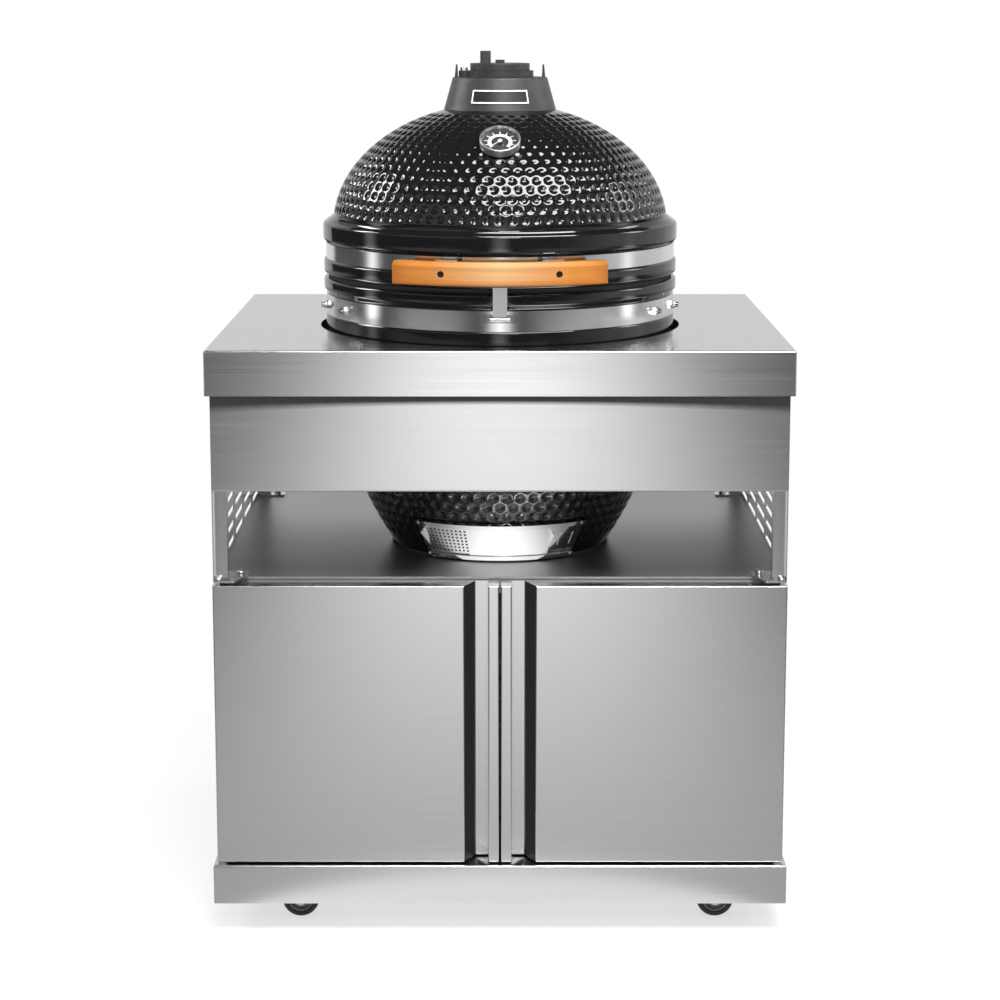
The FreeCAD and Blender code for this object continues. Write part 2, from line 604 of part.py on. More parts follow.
def make_wheel(x, y):
    half = WHEEL_WIDTH / 2
    centre = V(x + CASTOR_TRAIL, y, WHEEL_RADIUS)
    seat = WHEEL_RADIUS - TYRE_THICK

    def spun(points):
        corners = [V(r, w, 0) for r, w in points]
        face = Part.Face(Part.makePolygon(corners + corners[:1]))
        solid = face.revolve(V(0, 0, 0), V(0, 1, 0), 360)
        solid.translate(centre)
        return solid

    bevel = TYRE_THICK / 3
    tyre = spun([(seat, -half), (WHEEL_RADIUS - bevel, -half), (WHEEL_RADIUS, bevel - half),
                 (WHEEL_RADIUS, half - bevel), (WHEEL_RADIUS - bevel, half), (seat, half)])
    bore = AXLE_RADIUS + RUNNING_GAP
    boss = 2 * AXLE_RADIUS
    web = half / 3
    end = half + FORK_SIDE_GAP - MOVING_GAP
    hub = spun([(bore, -end), (boss, -end), (boss, -web), (seat - bevel, -web), (seat - bevel, -half),
                (seat, -half), (seat, half), (seat - bevel, half), (seat - bevel, web), (boss, web),
                (boss, end), (bore, end)])
    return Part.makeCompound([tyre, hub])


def make_castors():
    nodes = {}
    plates = []
    rails = []
    half_rail = RAIL_WIDTH / 2
    for end, y in (("front", FRONT + CASTOR_END_INSET), ("rear", -FRONT - CASTOR_END_INSET)):
        rail = block(-RAIL_HALF, RAIL_HALF, y - half_rail, y + half_rail, RAIL_BOTTOM, PLINTH_TOP - SHEET)
        rail = rail.cut(block(-RAIL_HALF - PAST, RAIL_HALF + PAST, y - half_rail + SHEET,
                              y + half_rail - SHEET, RAIL_BOTTOM + SHEET, PLINTH_TOP))
        for side, x in (("left", -CASTOR_X), ("right", CASTOR_X)):
            pin = rod(x, y, RAIL_BOTTOM - CASTOR_PLATE_THICK - PAST, KINGPIN_RADIUS + RUNNING_GAP,
                      CASTOR_PLATE_THICK + SHEET + 2 * PAST)
            rail = rail.cut(pin)
            plate = block(x - CASTOR_PLATE_LENGTH / 2, x + CASTOR_PLATE_LENGTH / 2,
                          y - CASTOR_PLATE_WIDTH / 2, y + CASTOR_PLATE_WIDTH / 2,
                          RAIL_BOTTOM - CASTOR_PLATE_THICK, RAIL_BOTTOM)
            plates.append(plate.cut(pin))
            nodes[f"{end}_{side}_castor_fork"] = make_fork(x, y)
            nodes[f"{end}_{side}_castor_wheel"] = make_wheel(x, y)
        rails.append(rail)
    nodes["castor_rails"] = Part.makeCompound(rails)
    nodes["castor_plates"] = Part.makeCompound(plates)
    return nodes


def make_base():
    inner_top = BAND_SEAT_RADIUS - WALL
    below_band = LOWER_BAND_BOTTOM - BAND_LAND
    belly_top = belly_radius(0, TOP_HEIGHT)
    edges = [belly_arc(0, SHELL_FOOT, TOP_HEIGHT)]
    edges += path([(belly_top, TOP_HEIGHT), (belly_top, below_band), (BAND_SEAT_RADIUS, LOWER_BAND_BOTTOM)])
    edges += rounded_path([
        (BAND_SEAT_RADIUS, LOWER_BAND_BOTTOM), (BAND_SEAT_RADIUS, LOWER_BAND_TOP + BAND_LAND),
        (RIM_RADIUS, BASE_RIM_BOTTOM), (RIM_RADIUS, BASE_RIM_TOP), (inner_top, BASE_RIM_TOP)], RIM_ROUND)
    edges += path([(inner_top, BASE_RIM_TOP), (inner_top, TOP_HEIGHT),
                   (belly_radius(WALL, TOP_HEIGHT), TOP_HEIGHT)])
    edges += [belly_arc(WALL, SHELL_FLOOR, TOP_HEIGHT)]
    edges += path([(belly_radius(WALL, SHELL_FLOOR), SHELL_FLOOR), (0, SHELL_FLOOR), (0, SHELL_FOOT),
                   (FOOT_RADIUS, SHELL_FOOT)])
    edges = [e for e in edges if e.Length > RUNNING_GAP]
    window_bottom = SHELL_FLOOR
    window_top = DRAFT_TOP - 2 * RAIL_LIP
    window = ring(FOOT_RADIUS - 3 * WALL, BELLY_RADIUS, window_bottom, window_top, -DRAFT_WINDOW_ANGLE,
                  DRAFT_WINDOW_ANGLE)
    shell = turned(edges).cut(window)
    gasket_inner = RIM_RADIUS - WALL
    gasket_outer = RIM_RADIUS - RIM_ROUND - GASKET_INSET
    return {"base_shell": shell,
            "seat_ring": ring(FOOT_RADIUS - SEAT_WIDTH, FOOT_RADIUS, DECK_HEIGHT, SHELL_FOOT),
            "lower_band": ring(BAND_SEAT_RADIUS, BAND_RADIUS, LOWER_BAND_BOTTOM, LOWER_BAND_TOP),
            "base_gasket": ring(gasket_inner, gasket_outer, BASE_RIM_TOP, BASE_RIM_TOP + GASKET_THICK)}


def slotted_disc(radius, rim, z, thick):
    """A round grate: parallel bars inside a rim."""
    slots = []
    pitch = GRATE_BAR + GRATE_SLOT
    count = int((radius - rim) / pitch)
    for i in range(-count, count + 1):
        edge = abs(i) * pitch + GRATE_SLOT / 2
        if edge < radius - rim:
            reach = math.sqrt((radius - rim) ** 2 - edge ** 2)
            slots.append(block(i * pitch - GRATE_SLOT / 2, i * pitch + GRATE_SLOT / 2, GRILL_Y - reach,
                               GRILL_Y + reach, z - PAST, z + thick + PAST))
    return rod(0, GRILL_Y, z, radius, thick).cut(Part.makeCompound(slots))


def make_fire():
    outer_foot = belly_radius(WALL + FIRE_BOX_GAP, SHELL_FLOOR)
    outer_top = belly_radius(WALL + FIRE_BOX_GAP, FIRE_BOX_TOP)
    ledge = COAL_GRATE_HEIGHT
    ledge_outer = belly_radius(WALL + FIRE_BOX_GAP + FIRE_BOX_WALL, ledge)
    ledge_inner = outer_foot - FIRE_BOX_WALL
    edges = [belly_arc(WALL + FIRE_BOX_GAP, SHELL_FLOOR, FIRE_BOX_TOP)]
    edges += path([(outer_top, FIRE_BOX_TOP), (outer_top - FIRE_BOX_WALL, FIRE_BOX_TOP), (ledge_outer, ledge),
                   (ledge_inner, ledge), (ledge_inner, SHELL_FLOOR), (outer_foot, SHELL_FLOOR)])
    inlet = ring(ledge_inner - FIRE_BOX_WALL, outer_top, SHELL_FLOOR, DRAFT_TOP - RAIL_LIP,
                 -DRAFT_WINDOW_ANGLE, DRAFT_WINDOW_ANGLE)
    box = turned(edges).cut(inlet)
    ring_inner = outer_top - FIRE_BOX_WALL
    ring_outer = BAND_SEAT_RADIUS - WALL - FIRE_BOX_GAP
    fire_ring = turned(path([
        (ring_inner, FIRE_BOX_TOP), (outer_top, FIRE_BOX_TOP), (ring_outer, FIRE_RING_TOP),
        (ring_outer - FIRE_BOX_WALL, FIRE_RING_TOP), (ring_inner, FIRE_BOX_TOP)]))
    coal_radius = ledge_outer - COAL_GRATE_GAP
    cooking_radius = ring_outer - COOKING_GRATE_GAP
    return {"fire_box": box, "fire_ring": fire_ring,
            "charcoal_grate": slotted_disc(coal_radius, GRATE_RIM, ledge, GRATE_THICK),
            "cooking_grate": slotted_disc(cooking_radius, GRATE_RIM, FIRE_RING_TOP, GRATE_THICK)}


def draft_line(z, offset):
    """A point beside the straight line that follows the base's side, at a height along it."""
    r0, r1 = belly_radius(0, DRAFT_BOTTOM), belly_radius(0, DRAFT_TOP)
    slope = math.atan2(r1 - r0, DRAFT_TOP - DRAFT_BOTTOM)
    along = (z - DRAFT_BOTTOM) / (DRAFT_TOP - DRAFT_BOTTOM)
    return (r0 + along * (r1 - r0) + offset * math.cos(slope), z - offset * math.sin(slope))


def draft_band(low, high, inner, outer, start, end):
    corners = [draft_line(low, inner), draft_line(low, outer), draft_line(high, outer),
               draft_line(high, inner)]
    return turned(path(corners + corners[:1]), start, end)


def draft_tab(low, high, inner, outer, start, end):
    """A three-cornered finger tab that stands out from a slide."""
    corners = [draft_line(low, inner), draft_line(high, outer), draft_line(high, inner)]
    return turned(path(corners + corners[:1]), start, end)


def draft_screw(z, offset, angle):
    """A round head on the frame, square to its face."""
    root = offset - SLIDE_THICK / 2
    tip = offset + DRAFT_SCREW_HEIGHT
    radius, height = draft_line(z, root)
    tip_radius, tip_height = draft_line(z, tip)
    axis = V(0, radius - tip_radius, tip_height - height)
    return on_grill(rod(0, GRILL_Y - radius, height, DRAFT_SCREW_RADIUS, tip - root, axis), angle)


def make_draft():
    plate_out = DRAFT_STANDOFF + DRAFT_PLATE
    screen_in = plate_out + SLIDE_GAP
    screen_out = screen_in + SLIDE_THICK
    door_in = screen_out + SLIDE_GAP
    door_out = door_in + SLIDE_THICK
    lip_in = door_out + SLIDE_GAP
    lip_out = lip_in + SLIDE_THICK
    half = DRAFT_HALF_ANGLE
    low, high = DRAFT_BOTTOM + RAIL_LIP, DRAFT_TOP - RAIL_LIP
    window = draft_band(low + RAIL_LIP, high - RAIL_LIP, 0, plate_out + PAST, -DRAFT_WINDOW_ANGLE,
                        DRAFT_WINDOW_ANGLE)
    spacer = RAIL_LIP - SLIDE_LAP
    screws = [draft_screw(z, lip_out, angle) for z in (DRAFT_BOTTOM + RAIL_LIP / 2, DRAFT_TOP - RAIL_LIP / 2)
              for angle in (-DRAFT_SCREW_ANGLE, DRAFT_SCREW_ANGLE)]
    frame = joined(screws + [
        draft_band(DRAFT_BOTTOM, DRAFT_TOP, DRAFT_STANDOFF, plate_out, -half, half).cut(window),
        draft_band(DRAFT_BOTTOM, DRAFT_BOTTOM + spacer, plate_out, lip_out, -half, half),
        draft_band(DRAFT_TOP - spacer, DRAFT_TOP, plate_out, lip_out, -half, half),
        draft_band(DRAFT_BOTTOM + spacer, low, lip_in, lip_out, -half, half),
        draft_band(high, DRAFT_TOP - spacer, lip_in, lip_out, -half, half)])
    slide_low = DRAFT_BOTTOM + spacer + SLIDE_GAP
    slide_high = DRAFT_TOP - spacer - SLIDE_GAP
    middle = (DRAFT_BOTTOM + DRAFT_TOP) / 2
    tab_low, tab_high = middle - TAB_HEIGHT / 2, middle + TAB_HEIGHT / 2
    tab_angle = math.degrees(SLIDE_THICK / FOOT_RADIUS)
    door = joined([
        draft_band(slide_low, slide_high, door_in, door_out, DOOR_FROM_ANGLE, DOOR_TO_ANGLE),
        draft_tab(tab_low, tab_high, door_in, door_out + TAB_REACH, DOOR_TO_ANGLE - tab_angle,
                  DOOR_TO_ANGLE)])
    screen = joined([
        draft_band(slide_low, slide_high, screen_in, screen_out, SCREEN_FROM_ANGLE, SCREEN_TO_ANGLE),
        draft_tab(tab_low, tab_high, screen_in, door_out + TAB_REACH, SCREEN_FROM_ANGLE,
                  SCREEN_FROM_ANGLE + tab_angle)])
    field_low, field_high = low + SLIDE_LAP, high - SLIDE_LAP
    row_pitch = (field_high - field_low) / SCREEN_ROWS
    column_pitch = (SCREEN_TO_ANGLE - SCREEN_FROM_ANGLE - SCREEN_MARGIN_ANGLE) / SCREEN_COLUMNS
    hole_angle = math.degrees(SCREEN_HOLE / FOOT_RADIUS)
    holes = []
    for column in range(SCREEN_COLUMNS):
        angle = SCREEN_FROM_ANGLE + SCREEN_MARGIN_ANGLE + column * column_pitch
        for row in range(SCREEN_ROWS):
            z = field_low + (row + 0.5) * row_pitch - SCREEN_HOLE / 2
            holes.append(draft_band(z, z + SCREEN_HOLE, screen_in - PAST, screen_out + SLIDE_GAP / 2, angle,
                                    angle + hole_angle))
    return {"draft_frame": frame, "draft_door": door, "draft_screen": screen.cut(Part.makeCompound(holes))}


def make_bands_and_latch():
    band_front = GRILL_Y - BAND_RADIUS
    bolts = []
    z = (LOWER_BAND_BOTTOM + LOWER_BAND_TOP) / 2
    for angle in BAND_BOLT_ANGLES:
        shank = rod(0, band_front - BAND_BOLT_REACH, z, BAND_BOLT_RADIUS, BAND_BOLT_REACH, V(0, 1, 0))
        nut = hexagon(0, 0, 0, BAND_NUT_RADIUS, BAND_NUT_HEIGHT)
        nut.rotate(V(0, 0, 0), V(1, 0, 0), 90)
        nut.translate(V(0, band_front, z))
        bolt = joined([shank, nut])
        bolts += [on_grill(bolt, angle), on_grill(bolt, -angle)]
    plate_half = math.degrees(LATCH_BRACKET_WIDTH / 2 / BAND_RADIUS)
    low = LATCH_PIN_HEIGHT - LATCH_BRACKET_HEIGHT / 2
    plate = ring(BAND_RADIUS, BAND_RADIUS + BRACKET_THICK, low, low + LATCH_BRACKET_HEIGHT, -plate_half,
                 plate_half)
    pin_y = GRILL_Y - BAND_RADIUS - BRACKET_THICK - LATCH_STANDOFF
    inside = LATCH_WIDTH / 2 + MOVING_GAP
    eye = LATCH_PIN_RADIUS + LATCH_THICK / 2
    pieces = [plate]
    for side in (-1, 1):
        x0 = min(side * inside, side * (inside + LATCH_EAR))
        pieces.append(block(x0, x0 + LATCH_EAR, pin_y, GRILL_Y - BAND_RADIUS - BRACKET_THICK / 2,
                            LATCH_PIN_HEIGHT - eye, LATCH_PIN_HEIGHT + eye))
        pieces.append(rod(x0, pin_y, LATCH_PIN_HEIGHT, eye, LATCH_EAR, V(1, 0, 0)))
    pin = rod(-inside - LATCH_EAR, pin_y, LATCH_PIN_HEIGHT, LATCH_PIN_RADIUS, 2 * (inside + LATCH_EAR),
              V(1, 0, 0))
    screw = rod(0, GRILL_Y - BAND_RADIUS - BRACKET_THICK - LATCH_SCREW_HEIGHT, LATCH_PIN_HEIGHT,
                LATCH_SCREW_RADIUS, BRACKET_THICK / 2 + LATCH_SCREW_HEIGHT, V(0, 1, 0))
    screws = [on_grill(screw, angle) for angle in (-LATCH_SCREW_ANGLE, LATCH_SCREW_ANGLE)]
    bracket = joined(pieces + screws + [pin])
    top = HANDLE_BOTTOM - LATCH_TOP_GAP
    half = LATCH_WIDTH / 2
    plate_back = pin_y + eye
    plate_front = plate_back - LATCH_THICK
    strap = joined([
        block(-half, half, plate_front, plate_back, LATCH_PIN_HEIGHT, top),
        block(-half, half, plate_front - LATCH_EAR, plate_front, top - LATCH_THICK, top),
        rod(-half, pin_y, LATCH_PIN_HEIGHT, eye, LATCH_WIDTH, V(1, 0, 0))])
    strap = strap.cut(rod(-LATCH_WIDTH, pin_y, LATCH_PIN_HEIGHT, LATCH_PIN_RADIUS + RUNNING_GAP,
                          2 * LATCH_WIDTH, V(1, 0, 0)))
    return {"band_bolts": Part.makeCompound(bolts), "latch_bracket": bracket, "latch_strap": strap}


def hinge_half(band_low, band_high, spread, bore):
    """A strap on a band with two ears that reach back to the hinge pin."""
    half = math.degrees((HINGE_EAR_SPREAD / 2 + 2 * HINGE_EAR_THICK) / BAND_RADIUS)
    pieces = [ring(BAND_RADIUS, BAND_RADIUS + HINGE_STRAP, band_low, band_high, 180 - half, 180 + half)]
    near = GRILL_Y + math.sqrt(BAND_RADIUS ** 2 - spread ** 2) + HINGE_STRAP / 2
    outline = [(near, band_low), (near, band_high)]
    if band_low > HINGE_HEIGHT:
        outline += [(HINGE_Y + HINGE_EYE, HINGE_HEIGHT), (HINGE_Y - HINGE_EYE, HINGE_HEIGHT)]
    else:
        outline += [(HINGE_Y - HINGE_EYE, HINGE_HEIGHT), (HINGE_Y + HINGE_EYE, HINGE_HEIGHT)]
    for side in (-1, 1):
        x0 = side * spread - HINGE_EAR_THICK / 2
        ear = side_prism(outline, x0, x0 + HINGE_EAR_THICK)
        pieces.append(ear)
        pieces.append(rod(x0, HINGE_Y, HINGE_HEIGHT, HINGE_EYE, HINGE_EAR_THICK, V(1, 0, 0)))
    hole = rod(-HINGE_EAR_SPREAD, HINGE_Y, HINGE_HEIGHT, bore, 2 * HINGE_EAR_SPREAD, V(1, 0, 0))
    return joined(pieces).cut(hole)


def make_hinge():
    outer = HINGE_EAR_SPREAD / 2
    inner = outer - HINGE_EAR_THICK - MOVING_GAP
    reach = outer + HINGE_EAR_THICK / 2
    pin = joined([
        rod(-reach, HINGE_Y, HINGE_HEIGHT, HINGE_PIN_RADIUS, 2 * reach, V(1, 0, 0)),
        rod(-reach - HINGE_STRAP, HINGE_Y, HINGE_HEIGHT, HINGE_PIN_HEAD, HINGE_STRAP, V(1, 0, 0)),
        rod(reach, HINGE_Y, HINGE_HEIGHT, HINGE_PIN_HEAD, HINGE_STRAP, V(1, 0, 0))])
    return {"lower_hinge_bracket": hinge_half(LOWER_BAND_BOTTOM, LOWER_BAND_TOP, outer, HINGE_PIN_RADIUS),
            "upper_hinge_bracket": hinge_half(UPPER_BAND_BOTTOM, UPPER_BAND_TOP, inner,
                                              HINGE_PIN_RADIUS + RUNNING_GAP),
            "hinge_pin": pin}


def on_dome(shape):
    """Sets a piece made upright at the origin square to the dome at the thermometer's place."""
    z = dome_height(THERMO_AT_RADIUS)
    lift = math.atan2((z - DOME_CENTRE) / DOME_RISE ** 2, THERMO_AT_RADIUS / DOME_RADIUS ** 2)
    placed = shape.rotated(V(0, 0, 0), V(1, 0, 0), 90 - math.degrees(lift))
    placed.translate(V(0, GRILL_Y - THERMO_AT_RADIUS, z))
    return placed


def make_lid():
    rim_top = LID_BOTTOM + LID_RIM_HEIGHT
    inner = BAND_SEAT_RADIUS - WALL
    dome_start = SHOULDER_TOP + SHOULDER_RISE
    dome_foot = dome_radius(dome_start)
    inner_dome = DOME_CENTRE + DOME_INSIDE_RISE
    edges = rounded_path([(inner, LID_BOTTOM), (RIM_RADIUS, LID_BOTTOM), (RIM_RADIUS, rim_top),
                          (BAND_SEAT_RADIUS, UPPER_BAND_BOTTOM)], RIM_ROUND)
    edges += path([(BAND_SEAT_RADIUS, UPPER_BAND_BOTTOM), (BAND_SEAT_RADIUS, UPPER_BAND_TOP)])
    edges += rounded_path([(BAND_SEAT_RADIUS, UPPER_BAND_TOP), (SHOULDER_RADIUS, SHOULDER_BOTTOM),
                           (SHOULDER_RADIUS, SHOULDER_TOP), (dome_foot, dome_start)], RIM_ROUND)
    edges += [dome_arc(0, dome_foot, FLUE_RADIUS)]
    foot_inside = dome_radius(inner_dome, WALL)
    edges += path([(FLUE_RADIUS, dome_height(FLUE_RADIUS)), (FLUE_RADIUS, dome_height(FLUE_RADIUS, WALL))])
    edges += [dome_arc(WALL, foot_inside, FLUE_RADIUS)]
    edges += path([(foot_inside, inner_dome), (inner, SHOULDER_BOTTOM), (inner, LID_BOTTOM)])
    stem_hole = on_dome(rod(0, 0, -2 * WALL, THERMO_STEM_RADIUS + THERMO_HOLE_GAP, 3 * WALL))
    gasket_inner = RIM_RADIUS - WALL
    gasket_outer = RIM_RADIUS - RIM_ROUND - GASKET_INSET
    return {"lid_shell": turned(edges).cut(stem_hole),
            "lid_gasket": ring(gasket_inner, gasket_outer, LID_BOTTOM - GASKET_THICK, LID_BOTTOM),
            "upper_band": ring(BAND_SEAT_RADIUS, BAND_RADIUS, UPPER_BAND_BOTTOM, UPPER_BAND_TOP)}


def make_handle():
    top = HANDLE_BOTTOM + HANDLE_HEIGHT
    front, back = HANDLE_FRONT_RADIUS, HANDLE_BACK_RADIUS
    half = math.degrees(math.asin(HANDLE_CHORD / 2 / front))
    small = HANDLE_CHAMFER / 3
    outline = [(back, HANDLE_BOTTOM + small), (back + small, HANDLE_BOTTOM), (front - small, HANDLE_BOTTOM),
               (front, HANDLE_BOTTOM + small), (front, top - HANDLE_CHAMFER), (front - HANDLE_CHAMFER, top),
               (back + small, top), (back, top - small)]
    handle = turned(path(outline + outline[:1]), -half, half)
    edge_on = HANDLE_CHORD / 2 - HANDLE_THICK
    upright = [e for e in handle.Edges if abs(e.CenterOfMass.x) > edge_on and len(e.Vertexes) == 2
               and abs(e.tangentAt(e.FirstParameter).z) > 1 - RUNNING_GAP]
    handle = handle.makeFillet(HANDLE_END_ROUND, upright)
    screw_z = HANDLE_BOTTOM + HANDLE_HEIGHT / 2
    screw_x = HANDLE_SCREW_SPAN / 2
    screw_y = GRILL_Y - math.sqrt(front ** 2 - screw_x ** 2)
    depth = HANDLE_THICK / 2
    counterbores = [rod(s * screw_x, screw_y - depth, screw_z, HANDLE_SCREW_RADIUS, 2 * depth, V(0, 1, 0))
                    for s in (-1, 1)]
    handle = handle.cut(Part.makeCompound(counterbores))
    high = UPPER_BAND_TOP - BRACKET_DROP
    low = high - BRACKET_HEIGHT
    wide = BRACKET_HALF_ANGLE
    pieces = [ring(BAND_RADIUS, BAND_RADIUS + BRACKET_THICK, low, high, -wide, wide)]
    for start in (-wide, wide - ARM_ANGLE):
        pieces.append(ring(BAND_RADIUS, back - BRACKET_THICK / 2, low, high, start, start + ARM_ANGLE))
        middle = start + ARM_ANGLE / 2
        pieces.append(ring(back - BRACKET_THICK, back, low, high, middle - TAB_ANGLE / 2,
                           middle + TAB_ANGLE / 2))
    return {"handle": handle, "handle_bracket": joined(pieces)}


def daisy_holes(z, height, turn):
    holes = []
    for i in range(DAISY_HOLES):
        angle = math.radians(turn + 90 + i * 360 / DAISY_HOLES)
        x = DAISY_HOLE_CIRCLE * math.cos(angle)
        y = GRILL_Y + DAISY_HOLE_CIRCLE * math.sin(angle)
        holes.append(rod(x, y, z, DAISY_HOLE_RADIUS, height))
    return Part.makeCompound(holes)


def make_cap():
    foot = CAP_BASE_RADIUS
    foot_inner = foot - 2 * CAP_WALL
    seat = -MOVING_GAP
    edges = [dome_arc(seat, foot, foot_inner)]
    top_inner = CAP_TOP_RADIUS - CAP_WALL
    edges += rounded_path([(foot, dome_height(foot, seat)), (CAP_TOP_RADIUS, CAP_TOP), (CAP_MOUTH, CAP_TOP)],
                          CAP_ROUND)
    edges += path([(CAP_MOUTH, CAP_TOP), (CAP_MOUTH, CAP_TOP - CAP_PLATE), (top_inner, CAP_TOP - CAP_PLATE),
                   (foot_inner, dome_height(foot_inner, seat))])
    cap = turned(edges)
    horn_out = CAP_TOP_RADIUS - CAP_ROUND
    tip = CAP_TOP + HORN_HEIGHT
    outline = [(horn_out - HORN_THICK, CAP_TOP), (horn_out, CAP_TOP), (horn_out - HORN_LEAN, tip),
               (horn_out - HORN_LEAN - HORN_TIP, tip)]
    horn = front_prism(outline, GRILL_Y - HORN_WIDTH / 2, GRILL_Y + HORN_WIDTH / 2)
    disc_low = CAP_TOP + MOVING_GAP
    disc_top = disc_low + DISC_THICK
    wheel_low = disc_top + MOVING_GAP
    wheel_top = wheel_low + WHEEL_PLATE_THICK
    pin_root = CAP_TOP - CAP_PLATE
    pivot_hole = rod(-DISC_PIVOT, GRILL_Y, pin_root, DISC_PIN_RADIUS, CAP_PLATE)
    bolt = joined([
        rod(-DISC_PIVOT, GRILL_Y, pin_root, DISC_PIN_RADIUS, disc_top + MOVING_GAP - pin_root),
        hexagon(-DISC_PIVOT, GRILL_Y, disc_top + MOVING_GAP, DISC_BOLT_HEAD, PLATE_BOLT_HEIGHT)])
    disc = joined([
        rod(0, GRILL_Y, disc_low, DISC_RADIUS, DISC_THICK),
        rod(-DISC_PIVOT, GRILL_Y, disc_low, DISC_EAR, DISC_THICK),
        block(-DISC_PIVOT, -DISC_NECK, GRILL_Y - DISC_EAR, GRILL_Y + DISC_EAR, disc_low, disc_top)])
    disc_bore = DISC_THICK + 2 * PAST
    disc = disc.cut(rod(-DISC_PIVOT, GRILL_Y, disc_low - PAST, DISC_PIN_RADIUS + RUNNING_GAP, disc_bore))
    disc = disc.cut(daisy_holes(disc_low - PAST, disc_bore, 0))
    screw = joined([
        rod(0, GRILL_Y, disc_low, DISC_PIN_RADIUS, wheel_top + MOVING_GAP - disc_low),
        hexagon(0, GRILL_Y, wheel_top + MOVING_GAP, DAISY_SCREW_HEAD, DAISY_SCREW_HEIGHT)])
    knob_turn = math.radians(KNOB_ANGLE)
    knob_x = KNOB_CIRCLE * math.cos(knob_turn)
    knob_y = GRILL_Y + KNOB_CIRCLE * math.sin(knob_turn)
    wheel_bore = WHEEL_PLATE_THICK + 2 * PAST
    wheel = rod(0, GRILL_Y, wheel_low, WHEEL_PLATE_RADIUS, WHEEL_PLATE_THICK)
    rim = [e for e in wheel.Edges if e.CenterOfMass.z > wheel_top - PAST and e.Closed]
    wheel = wheel.makeFillet(WHEEL_PLATE_ROUND, rim)
    wheel = wheel.cut(daisy_holes(wheel_low - PAST, wheel_bore, 180 / DAISY_HOLES))
    wheel = wheel.cut(rod(0, GRILL_Y, wheel_low - PAST, DISC_PIN_RADIUS + RUNNING_GAP, wheel_bore))
    knob = hexagon(knob_x, knob_y, wheel_low + MOVING_GAP, KNOB_RADIUS, WHEEL_PLATE_THICK + KNOB_HEIGHT)
    return {"vent_cap": cap.cut(pivot_hole), "cap_horns": Part.makeCompound([horn, mirrored(horn)]),
            "vent_pivot_bolt": bolt, "vent_disc": joined([disc, screw]), "daisy_wheel": joined([wheel, knob])}


def make_thermometer():
    case = rod(0, 0, MOVING_GAP, THERMO_RADIUS, THERMO_DEPTH - MOVING_GAP)
    edge = [e for e in case.Edges if e.Closed and e.CenterOfMass.z > THERMO_FLOOR]
    case = case.makeFillet(THERMO_EDGE, edge)
    bowl = THERMO_RADIUS - THERMO_RIM
    case = case.cut(rod(0, 0, THERMO_FLOOR, bowl, THERMO_DEPTH))
    glass_low = THERMO_DEPTH - 2 * GLASS_THICK
    pin_top = glass_low - MOVING_GAP
    pin = rod(0, 0, THERMO_FLOOR - PAST, NEEDLE_PIN_RADIUS, pin_top - THERMO_FLOOR + PAST)
    stem = rod(0, 0, -THERMO_STEM, THERMO_STEM_RADIUS, THERMO_STEM + THERMO_FLOOR / 2)
    needle_low = (THERMO_FLOOR + pin_top) / 2
    half = NEEDLE_PIN_RADIUS / 2
    needle = joined([
        rod(0, 0, needle_low, NEEDLE_HUB, NEEDLE_THICK),
        plan_prism([(half, 0), (half / 2, -NEEDLE_LENGTH), (-half / 2, -NEEDLE_LENGTH), (-half, 0)],
                   needle_low, needle_low + NEEDLE_THICK)])
    needle.rotate(V(0, 0, 0), V(0, 0, 1), NEEDLE_REST)
    needle = needle.cut(rod(0, 0, 0, NEEDLE_PIN_RADIUS + RUNNING_GAP, THERMO_DEPTH))
    glass = rod(0, 0, glass_low, bowl, GLASS_THICK)
    return {"thermometer_case": on_dome(joined([case, pin, stem])), "thermometer_needle": on_dome(needle),
            "thermometer_glass": on_dome(glass)}


def main():
    posts, deck_holes = make_posts()
    nodes = {}
    for group in (make_worktop(), make_fascias(), make_vent_panels(), posts, make_carcass(deck_holes),
                  make_doors(), make_castors(), make_base(), make_fire(), make_draft(),
                  make_bands_and_latch(), make_hinge(), make_lid(), make_handle(), make_cap(),
                  make_thermometer()):
        nodes.update(group)
    os.makedirs("parts", exist_ok=True)
    for name, shape in nodes.items():
        if not shape.isValid() or not shape.Solids:
            raise ValueError(f"{name} is not a sound solid")
        shape.exportStep(os.path.join("parts", f"{name}.step"))
        print(f"{name}: {len(shape.Solids)} solids, {shape.Volume:.0f} mm3")
    print(f"{len(nodes)} nodes")


main()
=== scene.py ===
import json
import math

